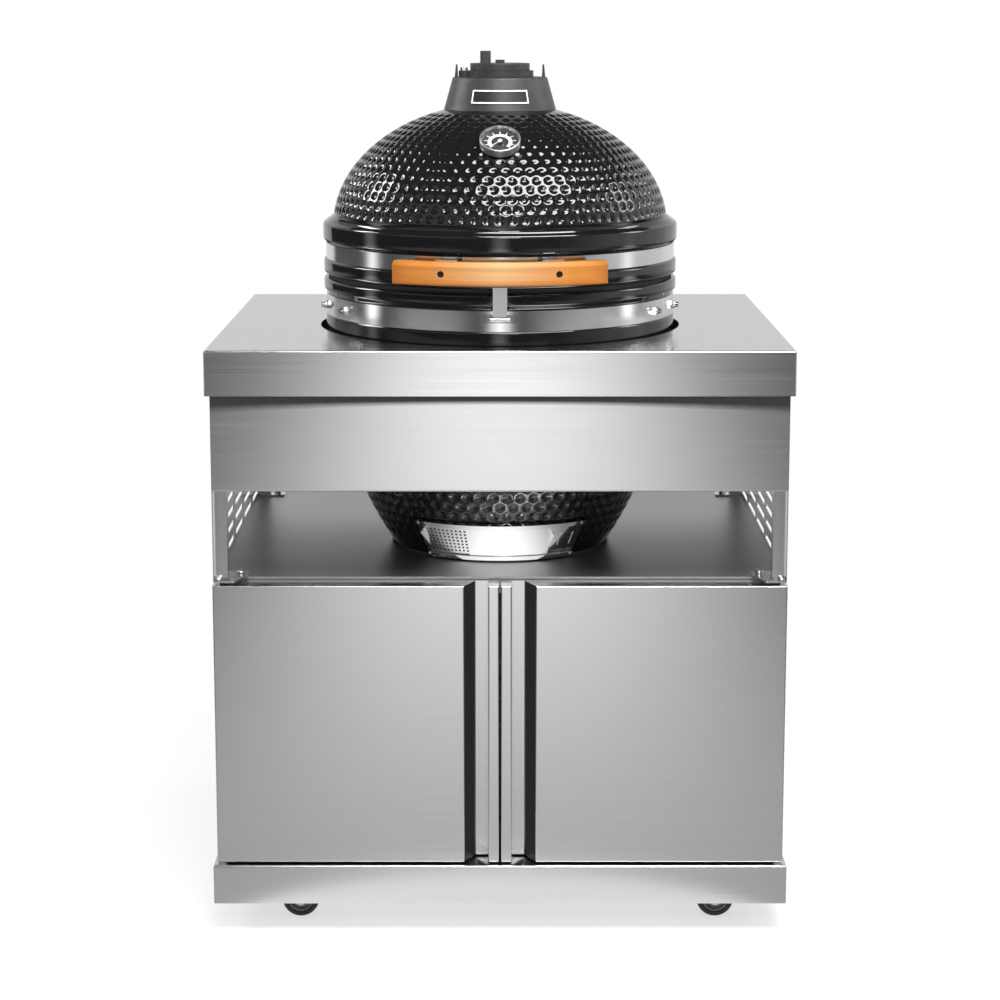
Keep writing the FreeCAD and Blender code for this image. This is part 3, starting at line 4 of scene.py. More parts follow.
import bpy
import numpy as np
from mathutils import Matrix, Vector


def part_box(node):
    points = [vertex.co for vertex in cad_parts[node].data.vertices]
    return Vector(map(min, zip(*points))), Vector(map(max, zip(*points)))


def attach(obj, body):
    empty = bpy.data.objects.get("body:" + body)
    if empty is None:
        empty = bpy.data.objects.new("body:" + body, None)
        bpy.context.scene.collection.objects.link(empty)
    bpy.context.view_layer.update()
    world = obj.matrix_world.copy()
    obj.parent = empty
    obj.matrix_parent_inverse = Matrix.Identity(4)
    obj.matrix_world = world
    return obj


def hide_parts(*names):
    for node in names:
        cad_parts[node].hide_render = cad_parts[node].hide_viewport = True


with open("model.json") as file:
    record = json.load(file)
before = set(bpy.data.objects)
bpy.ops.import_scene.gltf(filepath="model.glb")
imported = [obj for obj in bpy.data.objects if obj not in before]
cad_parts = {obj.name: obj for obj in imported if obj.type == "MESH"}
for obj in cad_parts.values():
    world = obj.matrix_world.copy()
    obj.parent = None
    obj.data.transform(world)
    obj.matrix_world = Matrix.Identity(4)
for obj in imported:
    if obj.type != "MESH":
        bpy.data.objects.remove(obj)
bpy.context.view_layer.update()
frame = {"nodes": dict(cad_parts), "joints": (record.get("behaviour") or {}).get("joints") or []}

bl_info = {
    "name": "Outdoor kitchen dresser",
    "version": (1, 0, 0),
    "blender": (4, 5, 0),
    "location": "View3D > Sidebar > Kitchen",
    "description": "Finishes a steel outdoor kitchen with a ceramic charcoal grill",
    "category": "Object",
}

NODES = frame["nodes"]
JOINTS = {joint["name"]: joint for joint in frame["joints"]}

# Places read from the frame, in metres
LID_LOW, LID_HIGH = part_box("lid_shell")
BASE_LOW, BASE_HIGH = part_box("base_shell")
UPPER_BAND_LOW, UPPER_BAND_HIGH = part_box("upper_band")
LOWER_BAND_LOW, LOWER_BAND_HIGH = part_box("lower_band")
CAP_LOW, CAP_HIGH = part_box("vent_cap")
TOP_LOW, TOP_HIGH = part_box("worktop")
GRILL_Y = (LID_LOW.y + LID_HIGH.y) / 2
SHOULDER_RADIUS = (LID_HIGH.x - LID_LOW.x) / 2
RIM_RADIUS = (BASE_HIGH.x - BASE_LOW.x) / 2
BAND_RADIUS = (UPPER_BAND_HIGH.x - UPPER_BAND_LOW.x) / 2

# Place of the first dimples as a share of a row, power of a dimple's wall, angle where the lid's inside ends
DIMPLE_START = 0.6
DIMPLE_CURVE = 1.5
LID_INSIDE_END = 0.02

# Ceramic shells, in metres
BAND_THICK = 0.0015
BAND_STEP = 0.0026
LID_ROUND = 0.006
SHOULDER_RISE = 0.0065
SHOULDER_HEIGHT = 0.025
SHOULDER_SLOPE = 0.013
DOME_STEP = 0.002
FLUE_RADIUS = 0.058
BASE_ROUND = 0.005
RIM_HEIGHT = 0.017
HOLLOW_DROP = 0.001
AXIS_RADIUS = 0.001

# Castor wheels, in metres
TREAD_ROUND = 0.006
HUB_PROUD = 0.0027
HUB_BORE = 0.0042
HUB_BOSS = 0.008
HUB_LIP = 0.0025
HUB_ROUND = 0.0012

# Handle screws, in metres
SCREW_SPAN = 0.089
SCREW_RADIUS = 0.0049
SCREW_SINK = 0.009
SCREW_FRONT = 0.002
SCREW_BACK = 0.0025
SCREW_ROUND = 0.001
SCREW_POLE = 0.0005

# Cap and its plate, in metres
CAP_TOP_RADIUS = 0.076
PLATE_DROP = 0.040
PLATE_GAP = 0.0001
PLATE_THICK = 0.0008
PLATE_RIM = 0.0022
PLATE_RIM_THICK = 0.0016

# Thermometer dial, in metres and radians
DIAL_RISE = 0.0042
DIAL_BORE = 0.0016
RING_INNER = 0.0133
RING_OUTER = 0.0190
TICK_END = 0.0250
TICK_HALF = 0.035
TICK_COUNT = 11
SCALE_START = math.radians(225)
SCALE_END = math.radians(-45)
PRINT_LIFT = 0.0003

# Mesh density of the pieces
LID_TURNS = 640
DOME_ROWS = 128
DOME_BARE_ROWS = 18
LID_INSIDE_ROWS = 24
BASE_TURNS = 600
BELLY_ROWS = 136
FOOT_BARE_ROWS = 8
BELLY_BARE_ROWS = 12
HOLLOW_ROWS = 41
SHELL_ROUND_STEPS = 5
WHEEL_TURNS = 64
TREAD_ROUND_STEPS = 6
SMALL_ROUND_STEPS = 3
SCREW_TURNS = 24
STRIP_STEPS = 16
DIAL_STEPS = 64
RING_STEPS = 40
TICK_STEPS = 2


def metres(name, description, default):
    return bpy.props.FloatProperty(name=name, description=description, default=default, unit="LENGTH")


def degrees(name, description, default):
    return bpy.props.FloatProperty(name=name, description=description, default=math.radians(default),
                                   unit="ROTATION")


def tone(name, description, default):
    return bpy.props.FloatVectorProperty(name=name, description=description, default=default,
                                         subtype="COLOR")


class KitchenSizes(bpy.types.PropertyGroup):
    """Sizes of the details that dress the frame."""
    dimple_pitch: metres("Dimple pitch", "Distance between dimples in the lid's glaze", 0.0185)
    base_pitch: metres("Base dimple pitch", "Distance between dimples in the base's glaze", 0.021)
    dimple_depth: metres("Dimple depth", "Depth of a dimple at its middle", 0.0026)
    dimple_share: bpy.props.FloatProperty(
        name="Dimple share", description="Radius of a dimple as a share of the pitch", default=0.41)
    wall: metres("Ceramic wall", "Thickness of the ceramic shells", 0.025)
    dome_radius: metres("Dome radius", "Half width of the lid's oval", 0.271)
    dome_rise: metres("Dome rise", "Height of the lid's oval above its centre", 0.198)
    dome_centre: metres("Dome centre", "Height of the oval's centre", 1.075)
    foot_radius: metres("Foot radius", "Radius of the base where it stands", 0.178)
    belly_radius: metres("Belly radius", "Radius of the base at the worktop", 0.283)
    window_angle: degrees("Window half angle", "Reach of the draft window to each side of the front", 12.0)
    window_drop: metres("Window drop", "Distance of the draft window from the top of its frame", 0.013)
    # The dark sheet behind the draft screen is painted shade, seen through the screen's holes
    screen_shade_from: degrees("Backing start", "Angle where the backing of the draft screen starts", -34.0)
    screen_shade_inset: metres("Backing inset", "Distance of the backing from the screen's edges", 0.008)
    screen_shade_thick: metres("Backing thickness", "Thickness of the backing", 0.00015)
    mark_height: metres("Mark height", "Height of the draft slide's scale marks", 0.021)
    mark_width: metres("Mark width", "Width of the draft slide's scale marks", 0.0016)
    mark_lift: metres("Mark lift", "Thickness of the draft slide's scale marks", 0.0003)
    inner_mark: degrees("Inner mark", "Angle of the scale mark beside the draft door", 27.6)
    outer_mark: degrees("Outer mark", "Angle of the scale mark near the frame's end", 34.0)
    tyre: metres("Tyre", "Thickness of the castor tyres", 0.009)
    plate_angle: degrees("Plate half angle", "Reach of the bare plate to each side of the cap's front", 31.0)
    plate_height: metres("Plate height", "Height of the bare plate on the cap", 0.021)
    dial_radius: metres("Dial radius", "Radius of the thermometer's dial", 0.0283)
    floor_size: metres("Floor size", "Width of the studio floor", 60.0)


class KitchenFinishes(bpy.types.PropertyGroup):
    """Colours of the finishes."""
    steel: tone("Steel", "Brushed stainless steel", (0.60, 0.60, 0.60))
    bright: tone("Bright steel", "Polished fittings", (0.74, 0.74, 0.74))
    # A lighter copy of the steel, painted light on the draft slide and the thermometer case
    satin: tone("Satin steel", "Draft slides and thermometer case", (0.86, 0.86, 0.86))
    bolt: tone("Bolt steel", "Bolts of the lower band", (0.42, 0.42, 0.43))
    zinc: tone("Zinc", "Plated castor forks", (0.42, 0.43, 0.44))
    glaze: tone("Glaze", "Black ceramic glaze", (0.006, 0.006, 0.007))
    iron: tone("Cast iron", "Seasoned cast iron", (0.055, 0.055, 0.057))
    bamboo: tone("Bamboo", "Oiled bamboo of the handle", (0.47, 0.17, 0.024))
    # Painted sheen in the middle of the handle, and painted shade at its ends and lower edge
    bamboo_sheen: tone("Pale bamboo", "Middle of the handle", (0.55, 0.31, 0.135))
    bamboo_shade: tone("Dark bamboo", "Ends and lower edge of the handle", (0.31, 0.092, 0.005))
    clay: tone("Fire clay", "Unglazed ceramic inside", (0.50, 0.40, 0.29))
    felt: tone("Felt", "Gaskets", (0.03, 0.03, 0.03))
    rubber: tone("Rubber", "Castor tyres", (0.02, 0.02, 0.021))
    hub: tone("Hub", "Moulded castor hubs", (0.16, 0.16, 0.17))
    dial: tone("Dial", "Black of the dial and of the bare plate", (0.012, 0.012, 0.013))
    # The dial's scale is print; the plate's rim stands for a bright metal frame, and its white is a painted
    # reflection
    marks: tone("Marks", "White of the dial's scale and of the plate's rim", (0.82, 0.82, 0.80))


def sizes():
    return bpy.context.scene.kitchen_sizes


def finishes():
    return bpy.context.scene.kitchen_finishes


class Finish:
    """A node material with short ways to add and link nodes."""

    def __init__(self, name):
        self.material = bpy.data.materials.new(name)
        self.material.use_nodes = True
        self.tree = self.material.node_tree
        self.shader = self.tree.nodes["Principled BSDF"]

    def node(self, kind, **values):
        made = self.tree.nodes.new(kind)
        for key, value in values.items():
            setattr(made, key, value)
        return made

    def link(self, source, target):
        self.tree.links.new(source, target)

    def set(self, **values):
        """Sets numbers and colours that are the same all over."""
        for key, value in values.items():
            self.shader.inputs[key.replace("_", " ")].default_value = value

    def drive(self, **sources):
        """Links textures to the shader's sockets."""
        for key, source in sources.items():
            self.link(source, self.shader.inputs[key.replace("_", " ")])

    def noise(self, scale, detail=4.0, roughness=0.6):
        """A cloud of noise, with one scale or a scale for each axis."""
        place = self.node("ShaderNodeTexCoord")
        stretch = self.node("ShaderNodeMapping")
        stretch.inputs["Scale"].default_value = scale if isinstance(scale, tuple) else (scale, scale, scale)
        self.link(place.outputs["Object"], stretch.inputs["Vector"])
        texture = self.node("ShaderNodeTexNoise")
        texture.inputs["Scale"].default_value = 1.0
        texture.inputs["Detail"].default_value = detail
        texture.inputs["Roughness"].default_value = roughness
        self.link(stretch.outputs["Vector"], texture.inputs["Vector"])
        return texture.outputs["Fac"]

    def ramp(self, factor, low, high, start=0.3, end=0.7):
        """Maps a texture to a range of numbers."""
        return ranged(self.tree.nodes, self.tree.links, factor, start, end, low, high)

    def added(self, first, second, share):
        """Adds a share of the second texture to the first."""
        both = self.node("ShaderNodeMath", operation="MULTIPLY_ADD")
        both.inputs[1].default_value = share
        self.link(second, both.inputs[0])
        self.link(first, both.inputs[2])
        return both.outputs["Value"]

    def tint(self, factor, dark, light):
        """Mixes two colours, each written or from a node, by a texture."""
        mixed = self.node("ShaderNodeMix", data_type="RGBA")
        sockets = {socket.identifier: socket for socket in (*mixed.inputs, *mixed.outputs)}
        for key, colour in (("A_Color", dark), ("B_Color", light)):
            if isinstance(colour, bpy.types.NodeSocket):
                self.link(colour, sockets[key])
            else:
                sockets[key].default_value = (*colour, 1)
        self.link(factor, mixed.inputs["Factor"])
        return sockets["Result_Color"]

    def bump(self, factor, strength, distance):
        relief = self.node("ShaderNodeBump")
        relief.inputs["Strength"].default_value = strength
        relief.inputs["Distance"].default_value = distance
        self.link(factor, relief.inputs["Height"])
        self.drive(Normal=relief.outputs["Normal"])


def ranged(nodes, links, value, start, end, low, high):
    """Maps a number from one range to another."""
    made = nodes.new("ShaderNodeMapRange")
    for key, number in (("From Min", start), ("From Max", end), ("To Min", low), ("To Max", high)):
        made.inputs[key].default_value = number
    links.new(value, made.inputs["Value"])
    return made.outputs["Result"]


def shaded(colour, share):
    return tuple(min(1.0, channel * share) for channel in colour)


BRUSH_ACROSS = 650.0
BRUSH_ALONG = 3.0
BRUSH_DEPTH = 0.0003
SMEAR_SCALE = 1.7
SMEAR_SHARE = 0.35


def brushed_steel(name, along, roughness=0.22, share=1.0, colour=None, relief=0.016):
    """Steel with fine brush lines that run along one axis."""
    finish = Finish(name)
    colour = shaded(colour or finishes().steel, share)
    stretch = tuple(BRUSH_ALONG if axis == along else BRUSH_ACROSS for axis in "XYZ")
    lines = finish.noise(stretch, detail=3.0, roughness=0.7)
    both = finish.added(lines, finish.noise(SMEAR_SCALE, detail=3.0), SMEAR_SHARE)
    spread = finish.ramp(both, low=0.0, high=1.0, start=0.45, end=0.95)
    finish.drive(Base_Color=finish.tint(spread, shaded(colour, 0.97), shaded(colour, 1.03)),
                 Roughness=finish.ramp(spread, roughness - 0.03, roughness + 0.03, start=0.0, end=1.0))
    finish.set(Metallic=1.0)
    finish.bump(lines, relief, BRUSH_DEPTH)
    return finish.material


def polished_steel(name, colour, roughness=0.12):
    """Bright steel with faint handling marks."""
    finish = Finish(name)
    marks = finish.noise(60.0, detail=5.0)
    finish.drive(Base_Color=finish.tint(marks, shaded(colour, 0.93), shaded(colour, 1.05)),
                 Roughness=finish.ramp(marks, roughness - 0.04, roughness + 0.05))
    finish.set(Metallic=1.0)
    return finish.material


def black_glaze():
    """Glossy black glaze, slightly uneven as fired."""
    finish = Finish("black_glaze")
    colour = finishes().glaze
    cloud = finish.noise(9.0, detail=3.0)
    finish.drive(Base_Color=finish.tint(cloud, shaded(colour, 0.7), shaded(colour, 1.5)),
                 Roughness=finish.ramp(finish.noise(30.0), low=0.05, high=0.11))
    finish.set(IOR=1.6)
    finish.bump(finish.noise(45.0, detail=2.0), strength=0.04, distance=0.001)
    return finish.material


def cast_iron():
    """Dark iron with a sand-cast grain."""
    finish = Finish("cast_iron")
    colour = finishes().iron
    grain = finish.noise(420.0, roughness=0.65)
    finish.drive(Base_Color=finish.tint(finish.noise(14.0), shaded(colour, 0.7), shaded(colour, 1.5)),
                 Roughness=finish.ramp(grain, low=0.34, high=0.52))
    finish.set(Metallic=0.6)
    finish.bump(grain, strength=0.35, distance=0.0012)
    return finish.material


# Painted sheen in the handle's middle, then painted shade at its ends and along its lower edge, and how dark
# that shade gets
HANDLE_SHEEN = (0.0, 0.34)
HANDLE_END_SHADE = (0.40, 0.50)
HANDLE_LOW_SHADE = (0.05, 0.30)
HANDLE_SHADE_DEPTH = 0.8


def bamboo():
    """Glued bamboo strips with long fibres, with a painted sheen in the middle and painted shade at the ends
    and the lower edge.
    """
    finish = Finish("bamboo")
    look = finishes()
    place = finish.node("ShaderNodeTexCoord")
    split = finish.node("ShaderNodeSeparateXYZ")
    finish.link(place.outputs["Generated"], split.inputs["Vector"])
    middle = finish.node("ShaderNodeMath", operation="SUBTRACT")
    middle.inputs[1].default_value = 0.5
    finish.link(split.outputs["X"], middle.inputs[0])
    along = finish.node("ShaderNodeMath", operation="ABSOLUTE")
    finish.link(middle.outputs["Value"], along.inputs[0])
    # Mask of painted shade at the ends and along the lower edge
    edge = finish.node("ShaderNodeMath", operation="MAXIMUM")
    finish.link(finish.ramp(along.outputs["Value"], 0.0, HANDLE_SHADE_DEPTH, *HANDLE_END_SHADE), edge.inputs[0])
    finish.link(finish.ramp(split.outputs["Z"], HANDLE_SHADE_DEPTH, 0.0, *HANDLE_LOW_SHADE), edge.inputs[1])
    # Painted sheen in the middle of the handle
    pale = finish.ramp(along.outputs["Value"], 0.0, 1.0, *HANDLE_SHEEN)
    wood = finish.tint(pale, look.bamboo_sheen, look.bamboo)
    wood = finish.tint(edge.outputs["Value"], wood, look.bamboo_shade)
    fibres = finish.noise((8, 40, 900), detail=5.0, roughness=0.7)
    strips = finish.noise((1.5, 5, 160), detail=1.0)
    spread = finish.ramp(finish.added(fibres, strips, 0.6), low=0.0, high=1.0, start=0.5, end=1.05)
    grain = finish.node("ShaderNodeVectorMath", operation="SCALE")
    finish.link(wood, grain.inputs[0])
    finish.link(finish.ramp(spread, low=0.78, high=1.16, start=0.0, end=1.0), grain.inputs["Scale"])
    finish.drive(Base_Color=grain.outputs["Vector"], Roughness=finish.ramp(fibres, low=0.28, high=0.42))
    finish.bump(fibres, strength=0.12, distance=0.0006)
    return finish.material


def grainy(name, colour, scale, roughness, metallic=0.0, relief=0.2, depth=0.0008):
    """A matt material with a fine mottled grain."""
    finish = Finish(name)
    grain = finish.noise(scale)
    finish.drive(Base_Color=finish.tint(grain, shaded(colour, 0.75), shaded(colour, 1.25)),
                 Roughness=finish.ramp(grain, roughness - 0.06, roughness + 0.06))
    finish.set(Metallic=metallic)
    finish.bump(grain, relief, depth)
    return finish.material


def clear_glass():
    """Thin clear glass with a faint smear."""
    finish = Finish("clear_glass")
    finish.drive(Roughness=finish.ramp(finish.noise(50.0, detail=3.0), low=0.0, high=0.03))
    finish.set(IOR=1.15, Base_Color=(1, 1, 1, 1), Transmission_Weight=1.0)
    return finish.material


MATERIALS = {}


def make_materials():
    """Makes every finish once, by name."""
    look = finishes()
    MATERIALS.update({
        "steel_x": brushed_steel("steel_brushed_across", "X"),
        "steel_y": brushed_steel("steel_brushed_along_depth", "Y"),
        "steel_z": brushed_steel("steel_brushed_upright", "Z"),
        "top_steel": brushed_steel("worktop_steel", "X", roughness=0.20),
        # A darker copy of the steel, painted shade on the deck in the bay
        "shaded_deck_steel": brushed_steel("shaded_deck_steel", "X", roughness=0.40, share=0.74, relief=0.005),
        # A darker copy of the steel, painted shade on the latch strap and bracket
        "shaded_latch_steel": brushed_steel("shaded_latch_steel", "Z", share=0.58),
        "band": brushed_steel("band_steel", "X", roughness=0.17, colour=look.bright),
        # A lighter copy of the steel: painted light on the draft slide and the thermometer case
        "satin": polished_steel("lit_satin_steel", look.satin, roughness=0.34),
        "bright": polished_steel("bright_steel", look.bright),
        "bolt": polished_steel("bolt_steel", look.bolt, roughness=0.20),
        "zinc": grainy("zinc_plate", look.zinc, scale=160.0, roughness=0.38, metallic=0.9, relief=0.1),
        "glaze": black_glaze(),
        "iron": cast_iron(),
        "bamboo": bamboo(),
        "clay": grainy("fire_clay", look.clay, scale=90.0, roughness=0.85, relief=0.4, depth=0.002),
        "felt": grainy("felt", look.felt, scale=700.0, roughness=0.95, relief=0.6, depth=0.001),
        "rubber": grainy("rubber", look.rubber, scale=300.0, roughness=0.6),
        "hub": grainy("castor_hub", look.hub, scale=200.0, roughness=0.45),
        "dial": grainy("dial_black", look.dial, scale=400.0, roughness=0.4),
        "marks": grainy("dial_white", look.marks, scale=400.0, roughness=0.5, relief=0.05),
        "glass": clear_glass(),
    })


def dress(finish, *nodes):
    """Gives frame nodes a finish."""
    for node in nodes:
        mesh = NODES[node].data
        mesh.materials.clear()
        mesh.materials.append(MATERIALS[finish])


def mesh_piece(name, points, faces, finish, body, replaced=(), smooth=True):
    """Makes a mesh object that rides on a body and may stand for frame nodes."""
    mesh = bpy.data.meshes.new(name)
    mesh.from_pydata([tuple(p) for p in points], [], [tuple(f) for f in faces])
    mesh.materials.append(MATERIALS[finish])
    mesh.validate()
    mesh.update()
    piece = bpy.data.objects.new(name, mesh)
    bpy.context.scene.collection.objects.link(piece)
    if smooth:
        mesh.shade_smooth()
    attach(piece, body)
    if replaced:
        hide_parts(*replaced)
    return piece


def lathe(name, profile, segments, finish, body, replaced=(), shift=None, window=None):
    """Turns a closed profile of (radius, height) about the grill's axis.

    The shift moves points along the surface's normal. The window is a half angle and the first and last
    rows of the outer and of the inner wall, between which a hole goes through at the front.
    """
    profile = np.array(profile, float)
    rows = len(profile)
    turn = np.linspace(0, 2 * math.pi, segments, endpoint=False)
    radius = np.repeat(profile[:, 0:1], segments, axis=1)
    height = np.repeat(profile[:, 1:2], segments, axis=1)
    if shift is not None:
        slope = np.gradient(profile, axis=0)
        slope /= np.linalg.norm(slope, axis=1, keepdims=True)
        push = shift(turn)
        radius = radius + push * slope[:, 1:2]
        height = height - push * slope[:, 0:1]
    points = np.stack([radius * np.sin(turn), GRILL_Y - radius * np.cos(turn), height], axis=2)

    def at(row, column):
        return (row % rows) * segments + column % segments

    open_rows, open_columns, faces = set(), set(), []
    if window:
        half, outer, inner = window
        reach = round(half / (2 * math.pi) * segments)
        columns = range(-reach, reach)
        open_columns = {k % segments for k in columns}
        open_rows = {*range(*outer), *range(*inner)}
        for k in columns:
            faces.append((at(outer[1], k + 1), at(outer[1], k), at(inner[0], k), at(inner[0], k + 1)))
            faces.append((at(outer[0], k), at(outer[0], k + 1), at(inner[1], k + 1), at(inner[1], k)))
        loop = [*range(outer[0], outer[1] + 1), *range(inner[0], inner[1] + 1)]
        faces.append([at(row, -reach) for row in reversed(loop)])
        faces.append([at(row, reach) for row in loop])
    for row in range(rows):
        for k in range(segments):
            if row in open_rows and k in open_columns:
                continue
            faces.append((at(row, k), at(row, k + 1), at(row + 1, k + 1), at(row + 1, k)))
    return mesh_piece(name, points.reshape(-1, 3), faces, finish, body, replaced)


def spun(name, profile, centre, segments, finish, body, replaced=()):
    """Turns a closed profile of (radius, width) about an axis that runs from front to back."""
    turn = np.linspace(0, 2 * math.pi, segments, endpoint=False)
    points = [(centre.x + r * math.cos(t), centre.y + w, centre.z + r * math.sin(t))
              for r, w in profile for t in turn]
    faces = []
    for row in range(len(profile)):
        a, b = row * segments, ((row + 1) % len(profile)) * segments
        faces += [(a + k, a + (k + 1) % segments, b + (k + 1) % segments, b + k) for k in range(segments)]
    return mesh_piece(name, points, faces, finish, body, replaced)


def on_grill(angle, height, radius):
    """A point at an angle to the right of the grill's front."""
    return (radius * math.sin(angle), GRILL_Y - radius * math.cos(angle), height)


def wrapped_strip(name, angles, heights, radius_at, thick, finish, body):
    """A thin closed strip wrapped round the grill between two angles and two heights."""
    points, faces = [], []
    for t in np.linspace(angles[0], angles[1], STRIP_STEPS + 1):
        for z, out in ((heights[0], 0.0), (heights[1], 0.0), (heights[1], thick), (heights[0], thick)):
            points.append(on_grill(t, z, radius_at(z) + out))
    for k in range(STRIP_STEPS):
        for i in range(4):
            n = (i + 1) % 4
            faces.append((4 * k + i, 4 * k + n, 4 * k + 4 + n, 4 * k + 4 + i))
    faces += [(3, 2, 1, 0), tuple(4 * STRIP_STEPS + i for i in range(4))]
    return mesh_piece(name, points, faces, finish, body, smooth=False)


def surface_radius(node, angle, height):
    """How far from the grill's axis a frame node's outside stands at an angle and a height."""
    item = NODES[node]
    inward = item.matrix_world.inverted()
    start = inward @ Vector(on_grill(angle, height, 2 * SHOULDER_RADIUS))
    end = inward @ Vector(on_grill(angle, height, 0.0))
    hit, place = item.ray_cast(start, (end - start).normalized())[:2]
    if not hit:
        raise RuntimeError(f"{node} has no surface at that place")
    place = item.matrix_world @ place
    return math.hypot(place.x, place.y - GRILL_Y)


MOST_OF_A_SIDE = 0.45


def corner(before, at, after, radius, steps):
    """Rounds one corner of a profile with an arc."""
    p, a, b = (np.array(v, float) for v in (at, before, after))
    first, second = np.linalg.norm(a - p), np.linalg.norm(b - p)
    u, v = (a - p) / first, (b - p) / second
    half = math.acos(max(-1.0, min(1.0, float(u @ v)))) / 2
    reach = min(radius / math.tan(half), MOST_OF_A_SIDE * first, MOST_OF_A_SIDE * second)
    radius = reach * math.tan(half)
    centre = p + (u + v) / np.linalg.norm(u + v) * radius / math.sin(half)
    start, end = p + u * reach - centre, p + v * reach - centre
    arc = []
    for t in np.linspace(0, 1, steps + 1):
        mixed = start * (1 - t) + end * t
        arc.append(centre + mixed / np.linalg.norm(mixed) * radius)
    return arc


def rounded(points, radius, steps):
    """Rounds every inner corner of an open profile."""
    line = [np.array(points[0], float)]
    for before, at, after in zip(points, points[1:], points[2:]):
        line += corner(before, at, after, radius, steps)
    return line + [np.array(points[-1], float)]


def dimples(profile, low, high, pitch):
    """Gives the depth of the dimples between two rows of a profile."""
    size = sizes()
    profile = np.array(profile, float)
    along = np.concatenate([[0], np.cumsum(np.linalg.norm(np.diff(profile, axis=0), axis=1))])
    along = along - along[low]
    step = pitch * math.sqrt(3) / 2
    count = int((along[high] - along[low]) / step)
    reach = pitch * size.dimple_share

    def depth_at(turn):
        nearest = np.full((len(profile), len(turn)), 1.0)
        for row in range(count):
            place = (row + DIMPLE_START) * step
            radius = np.interp(place, along, profile[:, 0])
            number = round(2 * math.pi * radius / pitch)
            phase = turn / (2 * math.pi) * number - 0.5 * (row % 2)
            side = (phase - np.round(phase)) * 2 * math.pi / number
            rows = np.abs(along - place) < reach
            gap = np.hypot(profile[rows, 0:1] * side, (along[rows] - place)[:, None])
            nearest[rows] = np.minimum(nearest[rows], gap)
        return -size.dimple_depth * np.clip(1 - (nearest / reach) ** 2, 0, 1) ** DIMPLE_CURVE
    return depth_at


# Camera: places in metres, lens and sensor in millimetres
CAMERA_HEIGHT = 1.402
CAMERA_DISTANCE = 3.391
CAMERA_LENS = 82.4
CAMERA_SENSOR = 36.0
CAMERA_SHIFT = -0.12
CAMERA_PITCH = math.radians(8.9)

# Soft light, lamps and white floor
AMBIENT = 0.62
LAMPS = {
    "overhead": {"place": (0.75, -1.7, 3.6), "aim": 0.9, "width": 2.8, "height": 1.1, "power": 150},
    "left_box": {"place": (-3.0, 0.7, 2.7), "aim": 1.0, "width": 0.7, "height": 1.2, "power": 45},
    "right_box": {"place": (3.0, 0.4, 2.4), "aim": 1.0, "width": 0.7, "height": 1.2, "power": 16},
    "front_box": {"place": (0.5, -4.6, 3.3), "aim": 1.2, "width": 1.1, "height": 0.8, "power": 45},
}
PAPER = (0.95, 0.95, 0.95, 1)
PAPER_ROUGHNESS = 0.9
FLOOR_WHITE_SHARE = 0.62
FLOOR_WHITE_FROM = 0.55
FLOOR_WHITE_TO = 1.35

# Cards round the object, with the levels of their dark and bright parts
FLAG_STEPS = 96
FLAG_HEIGHT = 0.003
FLAG_NEAR = 0.62
FLAG_DARK_REACH = 2.6
FLAG_FAR = 8.0
FLAG_SPLIT = 1.6
FLAG_TOP = 6.0
FLAG_STRIP = (0.05, 1.05)
FLAG_CORNER = (1.5, 3.5)
FLAG_REAR = (-6.8, -2.0)
FLAG_FADE = (0.55, 1.0)
BACK_FLAG = math.radians(45)
RIGHT_FLAG = math.radians(150)
FLOOR_DARK = (0.38, 0.04)
FLOOR_BRIGHT = (0.62, 3.0)
FLOOR_CORNER = 0.5
WALL_DARK = 0.05
WALL_BRIGHT = 1.3
UPPER_DARK = 0.08
UPPER_CORNER = 0.4
RIGHT_BRIGHT = 0.3
RIGHT_REAR = 0.65
BACK_LEVEL = 0.8
CEILING_LEVEL = 0.04

# Small cards of painted highlight and shade in the bay, below the worktop and in the doors' channels
DECK_CARD_HALF = 0.17
DECK_CARD_DEPTH = 0.07
DECK_CARD_STRIP = (0.01, 0.15)
DECK_CARD_LIFT = 0.002
DECK_CARD_DARK = 0.25
DECK_CARD_BRIGHT = 1.35
SKIRT_CARD_GAP = 0.004
SKIRT_CARD_DROP = 0.0155
SKIRT_CARD_CORNER = 0.014
SKIRT_CARD_LEVEL = 0.06
SKIRT_CARD_STEPS = 24
CHANNEL_CARD_NEAR = 0.0185
CHANNEL_CARD_FAR = 0.0372
CHANNEL_CARD_INSET = 0.004
CHANNEL_CARD_LIFT = 0.003
CHANNEL_CARD_LEVEL = 0.03


class KITCHEN_OT_stage(bpy.types.Operator):
    """Sets the floor, lights, background and camera"""
    bl_idname = "kitchen.stage"
    bl_label = "Set the stage"

    def execute(self, context):
        make_world()
        make_floor()
        for name, lamp in LAMPS.items():
            area_light(name, **lamp)
        make_flags()
        make_deck_card()
        make_skirt_card()
        make_channel_cards()
        make_camera()
        context.scene.view_settings.view_transform = "Standard"
        return {"FINISHED"}


def operation(nodes, links, kind, *values):
    """Works out a number from those of other nodes, such as the larger of two."""
    made = nodes.new("ShaderNodeMath")
    made.operation = kind
    for socket, value in zip(made.inputs, values):
        links.new(value, socket)
    return made.outputs["Value"]


def mixed_shader(nodes, links, share, first, second):
    mix = nodes.new("ShaderNodeMixShader")
    links.new(share, mix.inputs["Fac"])
    links.new(first, mix.inputs[1])
    links.new(second, mix.inputs[2])
    return mix.outputs["Shader"]


def from_middle(nodes, links, place):
    """The distance of a place from the object's middle."""
    reach = nodes.new("ShaderNodeVectorMath")
    reach.operation = "LENGTH"
    links.new(place.outputs["Object"], reach.inputs[0])
    return reach.outputs["Value"]


